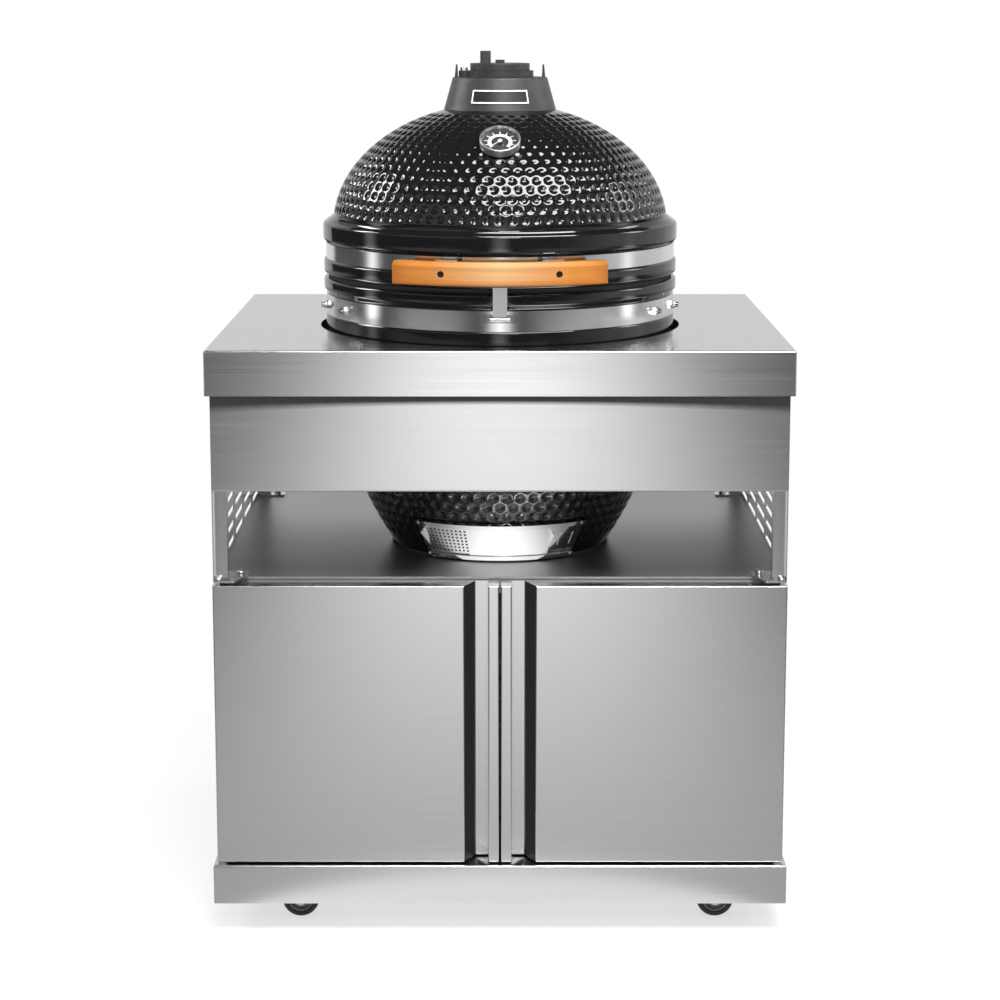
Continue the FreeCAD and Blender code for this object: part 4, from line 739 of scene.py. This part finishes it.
def seen_directly(nodes, links):
    """Is 1 for rays of the camera, of mirrors and of glass."""
    path = nodes.new("ShaderNodeLightPath")
    camera, mirror, glass = (path.outputs[f"Is {kind} Ray"] for kind in ("Camera", "Glossy", "Transmission"))
    return operation(nodes, links, "MAXIMUM", operation(nodes, links, "MAXIMUM", camera, mirror), glass)


def make_world():
    world = bpy.data.worlds.new("studio")
    bpy.context.scene.world = world
    world.use_nodes = True
    nodes, links = world.node_tree.nodes, world.node_tree.links
    soft, white = nodes["Background"], nodes.new("ShaderNodeBackground")
    for light, strength in ((soft, AMBIENT), (white, 1.0)):
        light.inputs["Color"].default_value = (1, 1, 1, 1)
        light.inputs["Strength"].default_value = strength
    sky = mixed_shader(nodes, links, seen_directly(nodes, links), soft.outputs["Background"],
                       white.outputs["Background"])
    links.new(sky, nodes["World Output"].inputs["Surface"])


def stage_mesh(name, points, faces, finish):
    """Adds a flat piece of the stage."""
    mesh = bpy.data.meshes.new(name)
    mesh.from_pydata(points, [], faces)
    mesh.materials.append(finish)
    item = bpy.data.objects.new(name, mesh)
    bpy.context.scene.collection.objects.link(item)
    return item


def make_floor():
    """Pale paper that turns white away from the object and keeps its shadow."""
    paper = bpy.data.materials.new("floor_paper")
    paper.use_nodes = True
    nodes, links = paper.node_tree.nodes, paper.node_tree.links
    shader = nodes["Principled BSDF"]
    shader.inputs["Base Color"].default_value = PAPER
    shader.inputs["Roughness"].default_value = PAPER_ROUGHNESS
    shader.inputs["Specular IOR Level"].default_value = 0.0
    fade = nodes.new("ShaderNodeMapRange")
    fade.interpolation_type = "SMOOTHSTEP"
    fade.inputs["From Min"].default_value = FLOOR_WHITE_FROM
    fade.inputs["From Max"].default_value = FLOOR_WHITE_TO
    fade.inputs["To Min"].default_value = FLOOR_WHITE_SHARE
    links.new(from_middle(nodes, links, nodes.new("ShaderNodeTexCoord")), fade.inputs["Value"])
    share = operation(nodes, links, "MULTIPLY", fade.outputs["Result"], seen_directly(nodes, links))
    white = nodes.new("ShaderNodeEmission")
    surface = mixed_shader(nodes, links, share, shader.outputs["BSDF"], white.outputs["Emission"])
    links.new(surface, nodes["Material Output"].inputs["Surface"])
    half = sizes().floor_size / 2
    points = [(-half, -half, 0), (half, -half, 0), (half, half, 0), (-half, half, 0)]
    stage_mesh("floor", points, [(0, 1, 2, 3)], paper)


def area_light(name, place, aim, width, height, power):
    """A soft box that points at a height on the object's axis."""
    data = bpy.data.lights.new(name, "AREA")
    data.shape = "RECTANGLE"
    data.size, data.size_y = width, height
    data.energy = power
    light = bpy.data.objects.new(name, data)
    light.location = place
    light.rotation_euler = (Vector((0, 0, aim)) - Vector(place)).to_track_quat("-Z", "Y").to_euler()
    bpy.context.scene.collection.objects.link(light)


def flag_material(name, dark, bright=None, strip=FLAG_STRIP, corners=0.0, rear=0.0, clear=None):
    """Gives a card with a bright strip along each of the object's two middle planes.

    Dark and bright are levels, or pairs of levels near the object and at the reach of the cards. Corners is
    the level that comes on top towards the diagonals, and rear the one towards the back. A card may be clear
    from behind, "back", or fade out along its "edge".
    """
    bright = dark if bright is None else bright
    dark, bright = (level if isinstance(level, tuple) else (level, level) for level in (dark, bright))
    made = bpy.data.materials.new(name)
    made.use_nodes = True
    nodes, links = made.node_tree.nodes, made.node_tree.links
    nodes.remove(nodes["Principled BSDF"])
    place = nodes.new("ShaderNodeTexCoord")
    split = nodes.new("ShaderNodeSeparateXYZ")
    links.new(place.outputs["Object"], split.inputs["Vector"])
    sides = [operation(nodes, links, "ABSOLUTE", split.outputs[axis]) for axis in "XY"]
    nearest = operation(nodes, links, "MINIMUM", *sides)
    distance = from_middle(nodes, links, place)
    level = nodes.new("ShaderNodeMapRange")
    level.interpolation_type = "SMOOTHSTEP"
    level.inputs["From Min"].default_value, level.inputs["From Max"].default_value = strip
    links.new(ranged(nodes, links, distance, FLAG_NEAR, FLAG_FAR, *bright), level.inputs["To Min"])
    links.new(ranged(nodes, links, distance, FLAG_NEAR, FLAG_DARK_REACH, *dark), level.inputs["To Max"])
    links.new(nearest, level.inputs["Value"])
    total = level.outputs["Result"]
    for value, reach, most in ((nearest, FLAG_CORNER, corners), (split.outputs["Y"], FLAG_REAR, rear)):
        total = operation(nodes, links, "ADD", total, ranged(nodes, links, value, *reach, 0.0, most))
    glow = nodes.new("ShaderNodeEmission")
    links.new(total, glow.inputs["Strength"])
    surface = glow.outputs["Emission"]
    if clear == "back":
        share = nodes.new("ShaderNodeNewGeometry").outputs["Backfacing"]
    elif clear == "edge":
        fade = nodes.new("ShaderNodeAttribute")
        fade.attribute_name = clear
        share = ranged(nodes, links, fade.outputs["Fac"], *FLAG_FADE, 0.0, 1.0)
    if clear:
        through = nodes.new("ShaderNodeBsdfTransparent")
        surface = mixed_shader(nodes, links, share, surface, through.outputs["BSDF"])
    links.new(surface, nodes["Material Output"].inputs["Surface"])
    return made


def flag(name, points, faces, finish):
    """A studio card that only polished surfaces see."""
    card = stage_mesh(name, points, faces, finish)
    card.visible_camera = False
    card.visible_diffuse = False
    card.visible_transmission = False
    card.visible_shadow = False
    return card


def make_flags():
    """Cards bright before each side and dark between, so that flat steel gets its gradient."""
    turn = [2 * math.pi * k / FLAG_STEPS for k in range(FLAG_STEPS)]
    count = 2 * FLAG_STEPS
    faces = [(k, k + 1, (k + 3) % count, (k + 2) % count) for k in range(0, count, 2)]
    back = [face for face, t in zip(faces, turn) if math.cos(t) >= math.cos(BACK_FLAG)]
    right = [face for face, t in zip(faces, turn) if BACK_FLAG < t < RIGHT_FLAG]
    rest = [face for face in faces if face not in back and face not in right]
    floor = [(r * math.sin(t), r * math.cos(t), FLAG_HEIGHT) for t in turn for r in (FLAG_NEAR, FLAG_FAR)]
    rim = [(FLAG_FAR * math.sin(t), FLAG_FAR * math.cos(t)) for t in turn]
    low, high, whole = ([(x, y, z) for x, y in rim for z in heights]
                        for heights in ((0.0, FLAG_SPLIT), (FLAG_SPLIT, FLAG_TOP), (0.0, FLAG_TOP)))
    ceiling = [(x, y, FLAG_TOP) for x, y in rim]
    flag("floor_flag", floor, faces,
         flag_material("floor_flag", FLOOR_DARK, FLOOR_BRIGHT, corners=FLOOR_CORNER))
    flag("wall_flag", low, rest, flag_material("wall_flag", WALL_DARK, WALL_BRIGHT))
    flag("upper_flag", high, rest, flag_material("upper_flag", UPPER_DARK, WALL_BRIGHT, corners=UPPER_CORNER))
    flag("right_flag", whole, right, flag_material("right_flag", WALL_DARK, RIGHT_BRIGHT, rear=RIGHT_REAR))
    flag("back_flag", whole, back, flag_material("back_flag", BACK_LEVEL))
    flag("ceiling_flag", ceiling, [tuple(range(FLAG_STEPS))], flag_material("ceiling_flag", CEILING_LEVEL))


def make_deck_card():
    """A bright card on the deck before the grill, which the draft slide mirrors as a painted highlight."""
    back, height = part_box("seat_ring")[0].y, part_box("deck")[1].z + DECK_CARD_LIFT
    front = back - DECK_CARD_DEPTH
    points = [(x, y, height) for x, y in ((-DECK_CARD_HALF, front), (DECK_CARD_HALF, front),
                                          (DECK_CARD_HALF, back), (-DECK_CARD_HALF, back))]
    flag("deck_card", points, [(0, 1, 2, 3)],
         flag_material("deck_card", DECK_CARD_DARK, DECK_CARD_BRIGHT, DECK_CARD_STRIP, clear="back"))


def make_skirt_card():
    """A dark card round the cabinet below the worktop's skirt, for the shade that the overhang gives it."""
    low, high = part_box("front_fascia")[0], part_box("rear_fascia")[1]
    left, right = low.x - SKIRT_CARD_GAP, high.x + SKIRT_CARD_GAP
    front, back = low.y - SKIRT_CARD_GAP, high.y + SKIRT_CARD_GAP
    corners = [Vector(place) for place in ((left, front), (right, front), (right, back), (left, back))]
    points, faces = [], []
    for start, end in zip(corners, corners[1:] + corners[:1]):
        first = len(points)
        for share in np.linspace(0, 1, SKIRT_CARD_STEPS + 1):
            x, y = start.lerp(end, share)
            drop = SKIRT_CARD_DROP + SKIRT_CARD_CORNER * (2 * share - 1) ** 2
            points += [(x, y, TOP_LOW.z), (x, y, TOP_LOW.z - drop)]
        rows = range(first, first + 2 * SKIRT_CARD_STEPS, 2)
        faces += [(k, k + 1, k + 3, k + 2) for k in rows]
    card = flag("skirt_card", points, faces, flag_material("skirt_card", SKIRT_CARD_LEVEL, clear="edge"))
    edge = card.data.attributes.new("edge", "FLOAT", "POINT")
    edge.data.foreach_set("value", [0.0, 1.0] * (len(points) // 2))


def make_channel_cards():
    """A dark card in each door's finger channel, which only the channel's slanted wall mirrors, as painted
    shade in the channel.
    """
    finish = flag_material("channel_card", CHANNEL_CARD_LEVEL, clear="back")
    for side, name, face in ((-1, "left", (3, 2, 1, 0)), (1, "right", (0, 1, 2, 3))):
        low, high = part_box(f"{name}_door_skin")
        near = (side * CHANNEL_CARD_NEAR, low.y + CHANNEL_CARD_INSET)
        far = (side * CHANNEL_CARD_FAR, high.y - CHANNEL_CARD_LIFT)
        points = [(*near, low.z), (*far, low.z), (*far, high.z), (*near, high.z)]
        flag(f"{name}_channel_card", points, [face], finish)


def make_camera():
    data = bpy.data.cameras.new("camera")
    data.lens = CAMERA_LENS
    data.sensor_width = CAMERA_SENSOR
    data.shift_y = CAMERA_SHIFT
    camera = bpy.data.objects.new("camera", data)
    camera.location = (0, TOP_LOW.y - CAMERA_DISTANCE, CAMERA_HEIGHT)
    camera.rotation_euler = (math.pi / 2 - CAMERA_PITCH, 0, 0)
    bpy.context.scene.collection.objects.link(camera)
    bpy.context.scene.camera = camera


class KITCHEN_OT_cabinet(bpy.types.Operator):
    """Finishes the steel cabinet"""
    bl_idname = "kitchen.cabinet"
    bl_label = "Finish the cabinet"

    def execute(self, context):
        dress("top_steel", "worktop")
        # The deck's darker steel is painted shade
        dress("shaded_deck_steel", "deck")
        dress("steel_x", "front_fascia", "rear_fascia", "back_panel", "plinth", "castor_rails",
              "left_door_skin", "right_door_skin", "left_door_liner", "right_door_liner")
        dress("steel_y", "left_vent_panel", "right_vent_panel", "left_side_panel", "right_side_panel")
        dress("steel_z", "front_left_post", "front_right_post", "rear_left_post", "rear_right_post")
        dress("bright", "foot_plate_bolts", "door_pivot_pins")
        return {"FINISHED"}


class KITCHEN_OT_castors(bpy.types.Operator):
    """Builds the castor tyres and hubs"""
    bl_idname = "kitchen.castors"
    bl_label = "Build the castors"

    def execute(self, context):
        dress("zinc", "castor_plates")
        for place in ("front_left", "front_right", "rear_left", "rear_right"):
            dress("zinc", f"{place}_castor_fork")
            self.wheel(place)
        return {"FINISHED"}

    def wheel(self, place):
        low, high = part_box(f"{place}_castor_wheel")
        centre = (low + high) / 2
        radius, end = (high.z - low.z) / 2, (high.y - low.y) / 2
        half = end - HUB_PROUD
        seat = radius - sizes().tyre
        tread = rounded([(seat, -half), (radius, -half), (radius, half), (seat, half)], TREAD_ROUND,
                        TREAD_ROUND_STEPS)
        body = f"{place}_wheel"
        spun(f"{place}_tyre", tread, centre, WHEEL_TURNS, "rubber", body,
             [f"{place}_castor_wheel"])
        bore, boss, web, lip = HUB_BORE, HUB_BOSS, half / 3, seat - HUB_LIP
        front = rounded([(boss, -end), (boss, -web), (lip, -web), (lip, -half)], HUB_ROUND, SMALL_ROUND_STEPS)
        back = [(r, -w) for r, w in reversed(front)]
        hub = [(bore, -end), *front, (seat, -half), (seat, half), *back, (bore, end)]
        spun(f"{place}_hub", hub, centre, WHEEL_TURNS, "hub", body)


class KITCHEN_OT_lid(bpy.types.Operator):
    """Builds the dimpled lid"""
    bl_idname = "kitchen.lid"
    bl_label = "Build the lid"

    def execute(self, context):
        size = sizes()
        seat = BAND_RADIUS - BAND_THICK
        inner = seat - size.wall
        low, rim_top = LID_LOW.z, UPPER_BAND_LOW.z - BAND_STEP
        shoulder_low = UPPER_BAND_HIGH.z + SHOULDER_RISE
        shoulder_top = shoulder_low + SHOULDER_HEIGHT
        dome_low = shoulder_top + SHOULDER_SLOPE
        outer = rounded([(inner, low), (RIM_RADIUS, low), (RIM_RADIUS, rim_top), (seat, UPPER_BAND_LOW.z),
                         (seat, UPPER_BAND_HIGH.z), (SHOULDER_RADIUS, shoulder_low),
                         (SHOULDER_RADIUS, shoulder_top), (size.dome_radius - DOME_STEP, dome_low)],
                        LID_ROUND, SHELL_ROUND_STEPS)
        start = math.asin((dome_low - size.dome_centre) / size.dome_rise)
        dome = self.oval(0.0, start, math.acos(FLUE_RADIUS / size.dome_radius), DOME_ROWS)
        flue = math.acos(FLUE_RADIUS / (size.dome_radius - size.wall))
        inside = self.oval(size.wall, flue, LID_INSIDE_END, LID_INSIDE_ROWS)
        profile = [tuple(p) for p in outer] + dome + inside + [(inner, shoulder_low)]
        field = dimples(profile, len(outer), len(outer) + len(dome) - DOME_BARE_ROWS, size.dimple_pitch)
        lathe("lid_glazed_shell", profile, LID_TURNS, "glaze", "lid", ["lid_shell"],
              shift=field)
        dress("felt", "lid_gasket")
        return {"FINISHED"}

    def oval(self, inset, start, end, rows):
        """Points of the dome's oval, or of one inside it, between two angles."""
        size = sizes()
        width, rise = size.dome_radius - inset, size.dome_rise - inset
        return [(width * math.cos(t), size.dome_centre + rise * math.sin(t))
                for t in np.linspace(start, end, rows)]


class KITCHEN_OT_base(bpy.types.Operator):
    """Builds the dimpled base and finishes what is inside it"""
    bl_idname = "kitchen.base"
    bl_label = "Build the base"

    def execute(self, context):
        size = sizes()
        foot, top, rim = BASE_LOW.z, TOP_HIGH.z, BASE_HIGH.z
        floor = foot + size.wall
        spread = size.belly_radius - size.foot_radius
        arc = (spread ** 2 + (top - foot) ** 2) / (2 * spread)

        def side(z, inset=0.0):
            return size.belly_radius - arc + math.sqrt((arc - inset) ** 2 - (top - z) ** 2)

        seat = BAND_RADIUS - BAND_THICK
        inner = seat - size.wall
        belly = [(side(z), z) for z in np.linspace(foot, top, BELLY_ROWS)]
        upper = rounded([(size.belly_radius, top), (size.belly_radius, LOWER_BAND_LOW.z - BAND_STEP),
                         (seat, LOWER_BAND_LOW.z), (seat, LOWER_BAND_HIGH.z + BAND_STEP),
                         (RIM_RADIUS, rim - RIM_HEIGHT), (RIM_RADIUS, rim), (inner, rim), (inner, top)],
                        BASE_ROUND, SHELL_ROUND_STEPS)
        hollow = [(side(z, size.wall), z) for z in np.linspace(top - HOLLOW_DROP, floor, HOLLOW_ROWS)]
        profile = [(AXIS_RADIUS, foot), *belly, *(tuple(p) for p in upper[1:]), *hollow, (AXIS_RADIUS, floor)]
        field = dimples(profile, FOOT_BARE_ROWS, len(belly) - BELLY_BARE_ROWS, size.base_pitch)
        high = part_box("draft_frame")[1].z - size.window_drop
        rows = [row for row, point in enumerate(profile) if floor <= point[1] <= high]
        outside = [row for row in rows if row < len(belly)]
        inside = [row for row in rows if row >= len(profile) - len(hollow) - 1]
        window = (size.window_angle, (outside[0], outside[-1]), (inside[0], inside[-1]))
        lathe("base_glazed_shell", profile, BASE_TURNS, "glaze", "cabinet", ["base_shell"],
              shift=field, window=window)
        dress("clay", "fire_box", "fire_ring")
        dress("felt", "seat_ring", "base_gasket")
        dress("iron", "charcoal_grate")
        dress("bright", "cooking_grate")
        return {"FINISHED"}


class KITCHEN_OT_bands(bpy.types.Operator):
    """Finishes the bands, hinge and latch"""
    bl_idname = "kitchen.bands"
    bl_label = "Finish the bands"

    def execute(self, context):
        dress("band", "lower_band", "upper_band", "lower_hinge_bracket", "upper_hinge_bracket")
        # The latch's darker steel is painted shade
        dress("shaded_latch_steel", "latch_strap", "latch_bracket")
        dress("bolt", "band_bolts", "hinge_pin")
        return {"FINISHED"}


class KITCHEN_OT_draft(bpy.types.Operator):
    """Finishes the draft slide with a dark sheet of painted shade behind its screen, and with scale marks"""
    bl_idname = "kitchen.draft"
    bl_label = "Finish the draft slide"

    def execute(self, context):
        dress("bright", "draft_frame")
        # A lighter copy of the steel, painted light on the draft door and screen
        dress("satin", "draft_door", "draft_screen")
        size = sizes()
        low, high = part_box("draft_screen")
        heights = (low.z + size.screen_shade_inset, high.z - size.screen_shade_inset)
        angles = (size.screen_shade_from, -size.window_angle)

        def behind(z):
            return surface_radius("draft_frame", sum(angles) / 2, z)

        # A dark sheet of painted shade behind the screen, seen through its holes
        wrapped_strip("draft_screen_shade", angles, heights, behind, size.screen_shade_thick, "felt", "cabinet")
        self.mark("draft_mark_inner", size.inner_mark)
        self.mark("draft_mark_outer", size.outer_mark)
        return {"FINISHED"}

    def mark(self, name, angle):
        """A plain white stroke on the frame."""
        size = sizes()
        low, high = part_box("draft_frame")
        middle = (low.z + high.z) / 2
        heights = (middle - size.mark_height / 2, middle + size.mark_height / 2)
        ends = [surface_radius("draft_frame", angle, z) for z in heights]

        def face(z):
            return float(np.interp(z, heights, ends))

        half = size.mark_width / 2 / face(middle)
        wrapped_strip(name, (angle - half, angle + half), heights, face, size.mark_lift, "marks", "cabinet")


class KITCHEN_OT_handle(bpy.types.Operator):
    """Finishes the handle and its bracket and builds the screws"""
    bl_idname = "kitchen.handle"
    bl_label = "Finish the handle"

    def execute(self, context):
        dress("bamboo", "handle")
        dress("bright", "handle_bracket")
        low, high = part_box("handle")
        front, span = GRILL_Y - low.y, SCREW_SPAN
        depth = front - math.sqrt(front ** 2 - span ** 2) + SCREW_SINK
        head = rounded([(SCREW_POLE, -SCREW_FRONT), (SCREW_RADIUS, -SCREW_FRONT),
                        (SCREW_RADIUS, SCREW_BACK), (SCREW_POLE, SCREW_BACK)],
                       SCREW_ROUND, SMALL_ROUND_STEPS)
        # Screws sit in the counterbores; their black is painted shade of the holes
        for name, x in (("left", -span), ("right", span)):
            centre = Vector((x, low.y + depth, (low.z + high.z) / 2))
            spun(f"handle_screw_{name}", head, centre, SCREW_TURNS, "dial", "lid")
        return {"FINISHED"}


class KITCHEN_OT_cap(bpy.types.Operator):
    """Finishes the cast-iron cap and builds its bare plate"""
    bl_idname = "kitchen.cap"
    bl_label = "Finish the cap"

    def execute(self, context):
        dress("iron", "vent_cap", "cap_horns", "vent_disc", "daisy_wheel")
        dress("bright", "vent_pivot_bolt")
        size = sizes()
        foot_radius = (CAP_HIGH.x - CAP_LOW.x) / 2
        slope = (foot_radius - CAP_TOP_RADIUS) / (CAP_HIGH.z - CAP_LOW.z)

        def cone(z):
            return foot_radius - slope * (z - CAP_LOW.z) + PLATE_GAP

        reach, rim = size.plate_angle, PLATE_RIM
        low = CAP_HIGH.z - PLATE_DROP
        high = low + size.plate_height
        wrapped_strip("cap_plate", (-reach, reach), (low, high), cone, PLATE_THICK, "dial", "lid")
        # The rim stands for a bright metal frame; its white is a painted reflection
        side = rim / foot_radius
        for name, angles, heights in (("bottom", (-reach, reach), (low, low + rim)),
                                      ("top", (-reach, reach), (high - rim, high)),
                                      ("left", (-reach, side - reach), (low + rim, high - rim)),
                                      ("right", (reach - side, reach), (low + rim, high - rim))):
            wrapped_strip(f"cap_plate_rim_{name}", angles, heights, cone, PLATE_RIM_THICK, "marks", "lid")
        return {"FINISHED"}


class KITCHEN_OT_thermometer(bpy.types.Operator):
    """Finishes the thermometer and builds its dial"""
    bl_idname = "kitchen.thermometer"
    bl_label = "Build the thermometer"

    def execute(self, context):
        # A lighter copy of the steel, painted light on the thermometer case
        dress("satin", "thermometer_case")
        dress("marks", "thermometer_needle")
        dress("glass", "thermometer_glass")
        first, last = SCALE_START, SCALE_END
        self.sector("dial_face", "dial", DIAL_BORE, sizes().dial_radius, 0, 2 * math.pi, 0.0, DIAL_STEPS)
        self.sector("dial_ring", "marks", RING_INNER, RING_OUTER, last, first, PRINT_LIFT, RING_STEPS)
        for k in range(TICK_COUNT):
            angle = first + (last - first) * k / (TICK_COUNT - 1)
            self.sector(f"dial_tick_{k + 1}", "marks", RING_OUTER, TICK_END, angle - TICK_HALF,
                        angle + TICK_HALF, PRINT_LIFT, TICK_STEPS)
        return {"FINISHED"}

    def sector(self, name, finish, inner, outer, start, end, lift, steps):
        """A flat piece of a ring on the dial, square to the needle's axis."""
        joint = JOINTS["needle_turn"]
        centre, out = Vector(joint["pos_m"]), -Vector(joint["axis"]).normalized()
        right = Vector((1, 0, 0))
        up = out.cross(right)
        level = centre + out * (DIAL_RISE + lift)
        points = []
        for t in np.linspace(start, end, steps + 1):
            ray = right * math.cos(t) + up * math.sin(t)
            points += [level + ray * inner, level + ray * outer]
        faces = [(2 * k, 2 * k + 1, 2 * k + 3, 2 * k + 2) for k in range(steps)]
        mesh_piece(name, points, faces, finish, "lid", smooth=False)


class KITCHEN_PT_panel(bpy.types.Panel):
    """Lists the steps in the sidebar"""
    bl_label = "Outdoor kitchen"
    bl_idname = "KITCHEN_PT_panel"
    bl_space_type = "VIEW_3D"
    bl_region_type = "UI"
    bl_category = "Kitchen"

    def draw(self, context):
        for group in (context.scene.kitchen_sizes, context.scene.kitchen_finishes):
            for key in group.__annotations__:
                self.layout.prop(group, key)
        for step in STEPS:
            self.layout.operator(step.bl_idname)


STEPS = (KITCHEN_OT_stage, KITCHEN_OT_cabinet, KITCHEN_OT_castors, KITCHEN_OT_base, KITCHEN_OT_lid,
         KITCHEN_OT_bands, KITCHEN_OT_draft, KITCHEN_OT_handle, KITCHEN_OT_cap, KITCHEN_OT_thermometer)
CLASSES = (KitchenSizes, KitchenFinishes, *STEPS, KITCHEN_PT_panel)


def register():
    for item in CLASSES:
        bpy.utils.register_class(item)
    bpy.types.Scene.kitchen_sizes = bpy.props.PointerProperty(type=KitchenSizes)
    bpy.types.Scene.kitchen_finishes = bpy.props.PointerProperty(type=KitchenFinishes)


def unregister():
    del bpy.types.Scene.kitchen_finishes
    del bpy.types.Scene.kitchen_sizes
    for item in reversed(CLASSES):
        bpy.utils.unregister_class(item)


def main():
    register()
    make_materials()
    for step in STEPS:
        group, name = step.bl_idname.split(".")
        getattr(getattr(bpy.ops, group), name)()


if __name__ == "__main__":
    main()
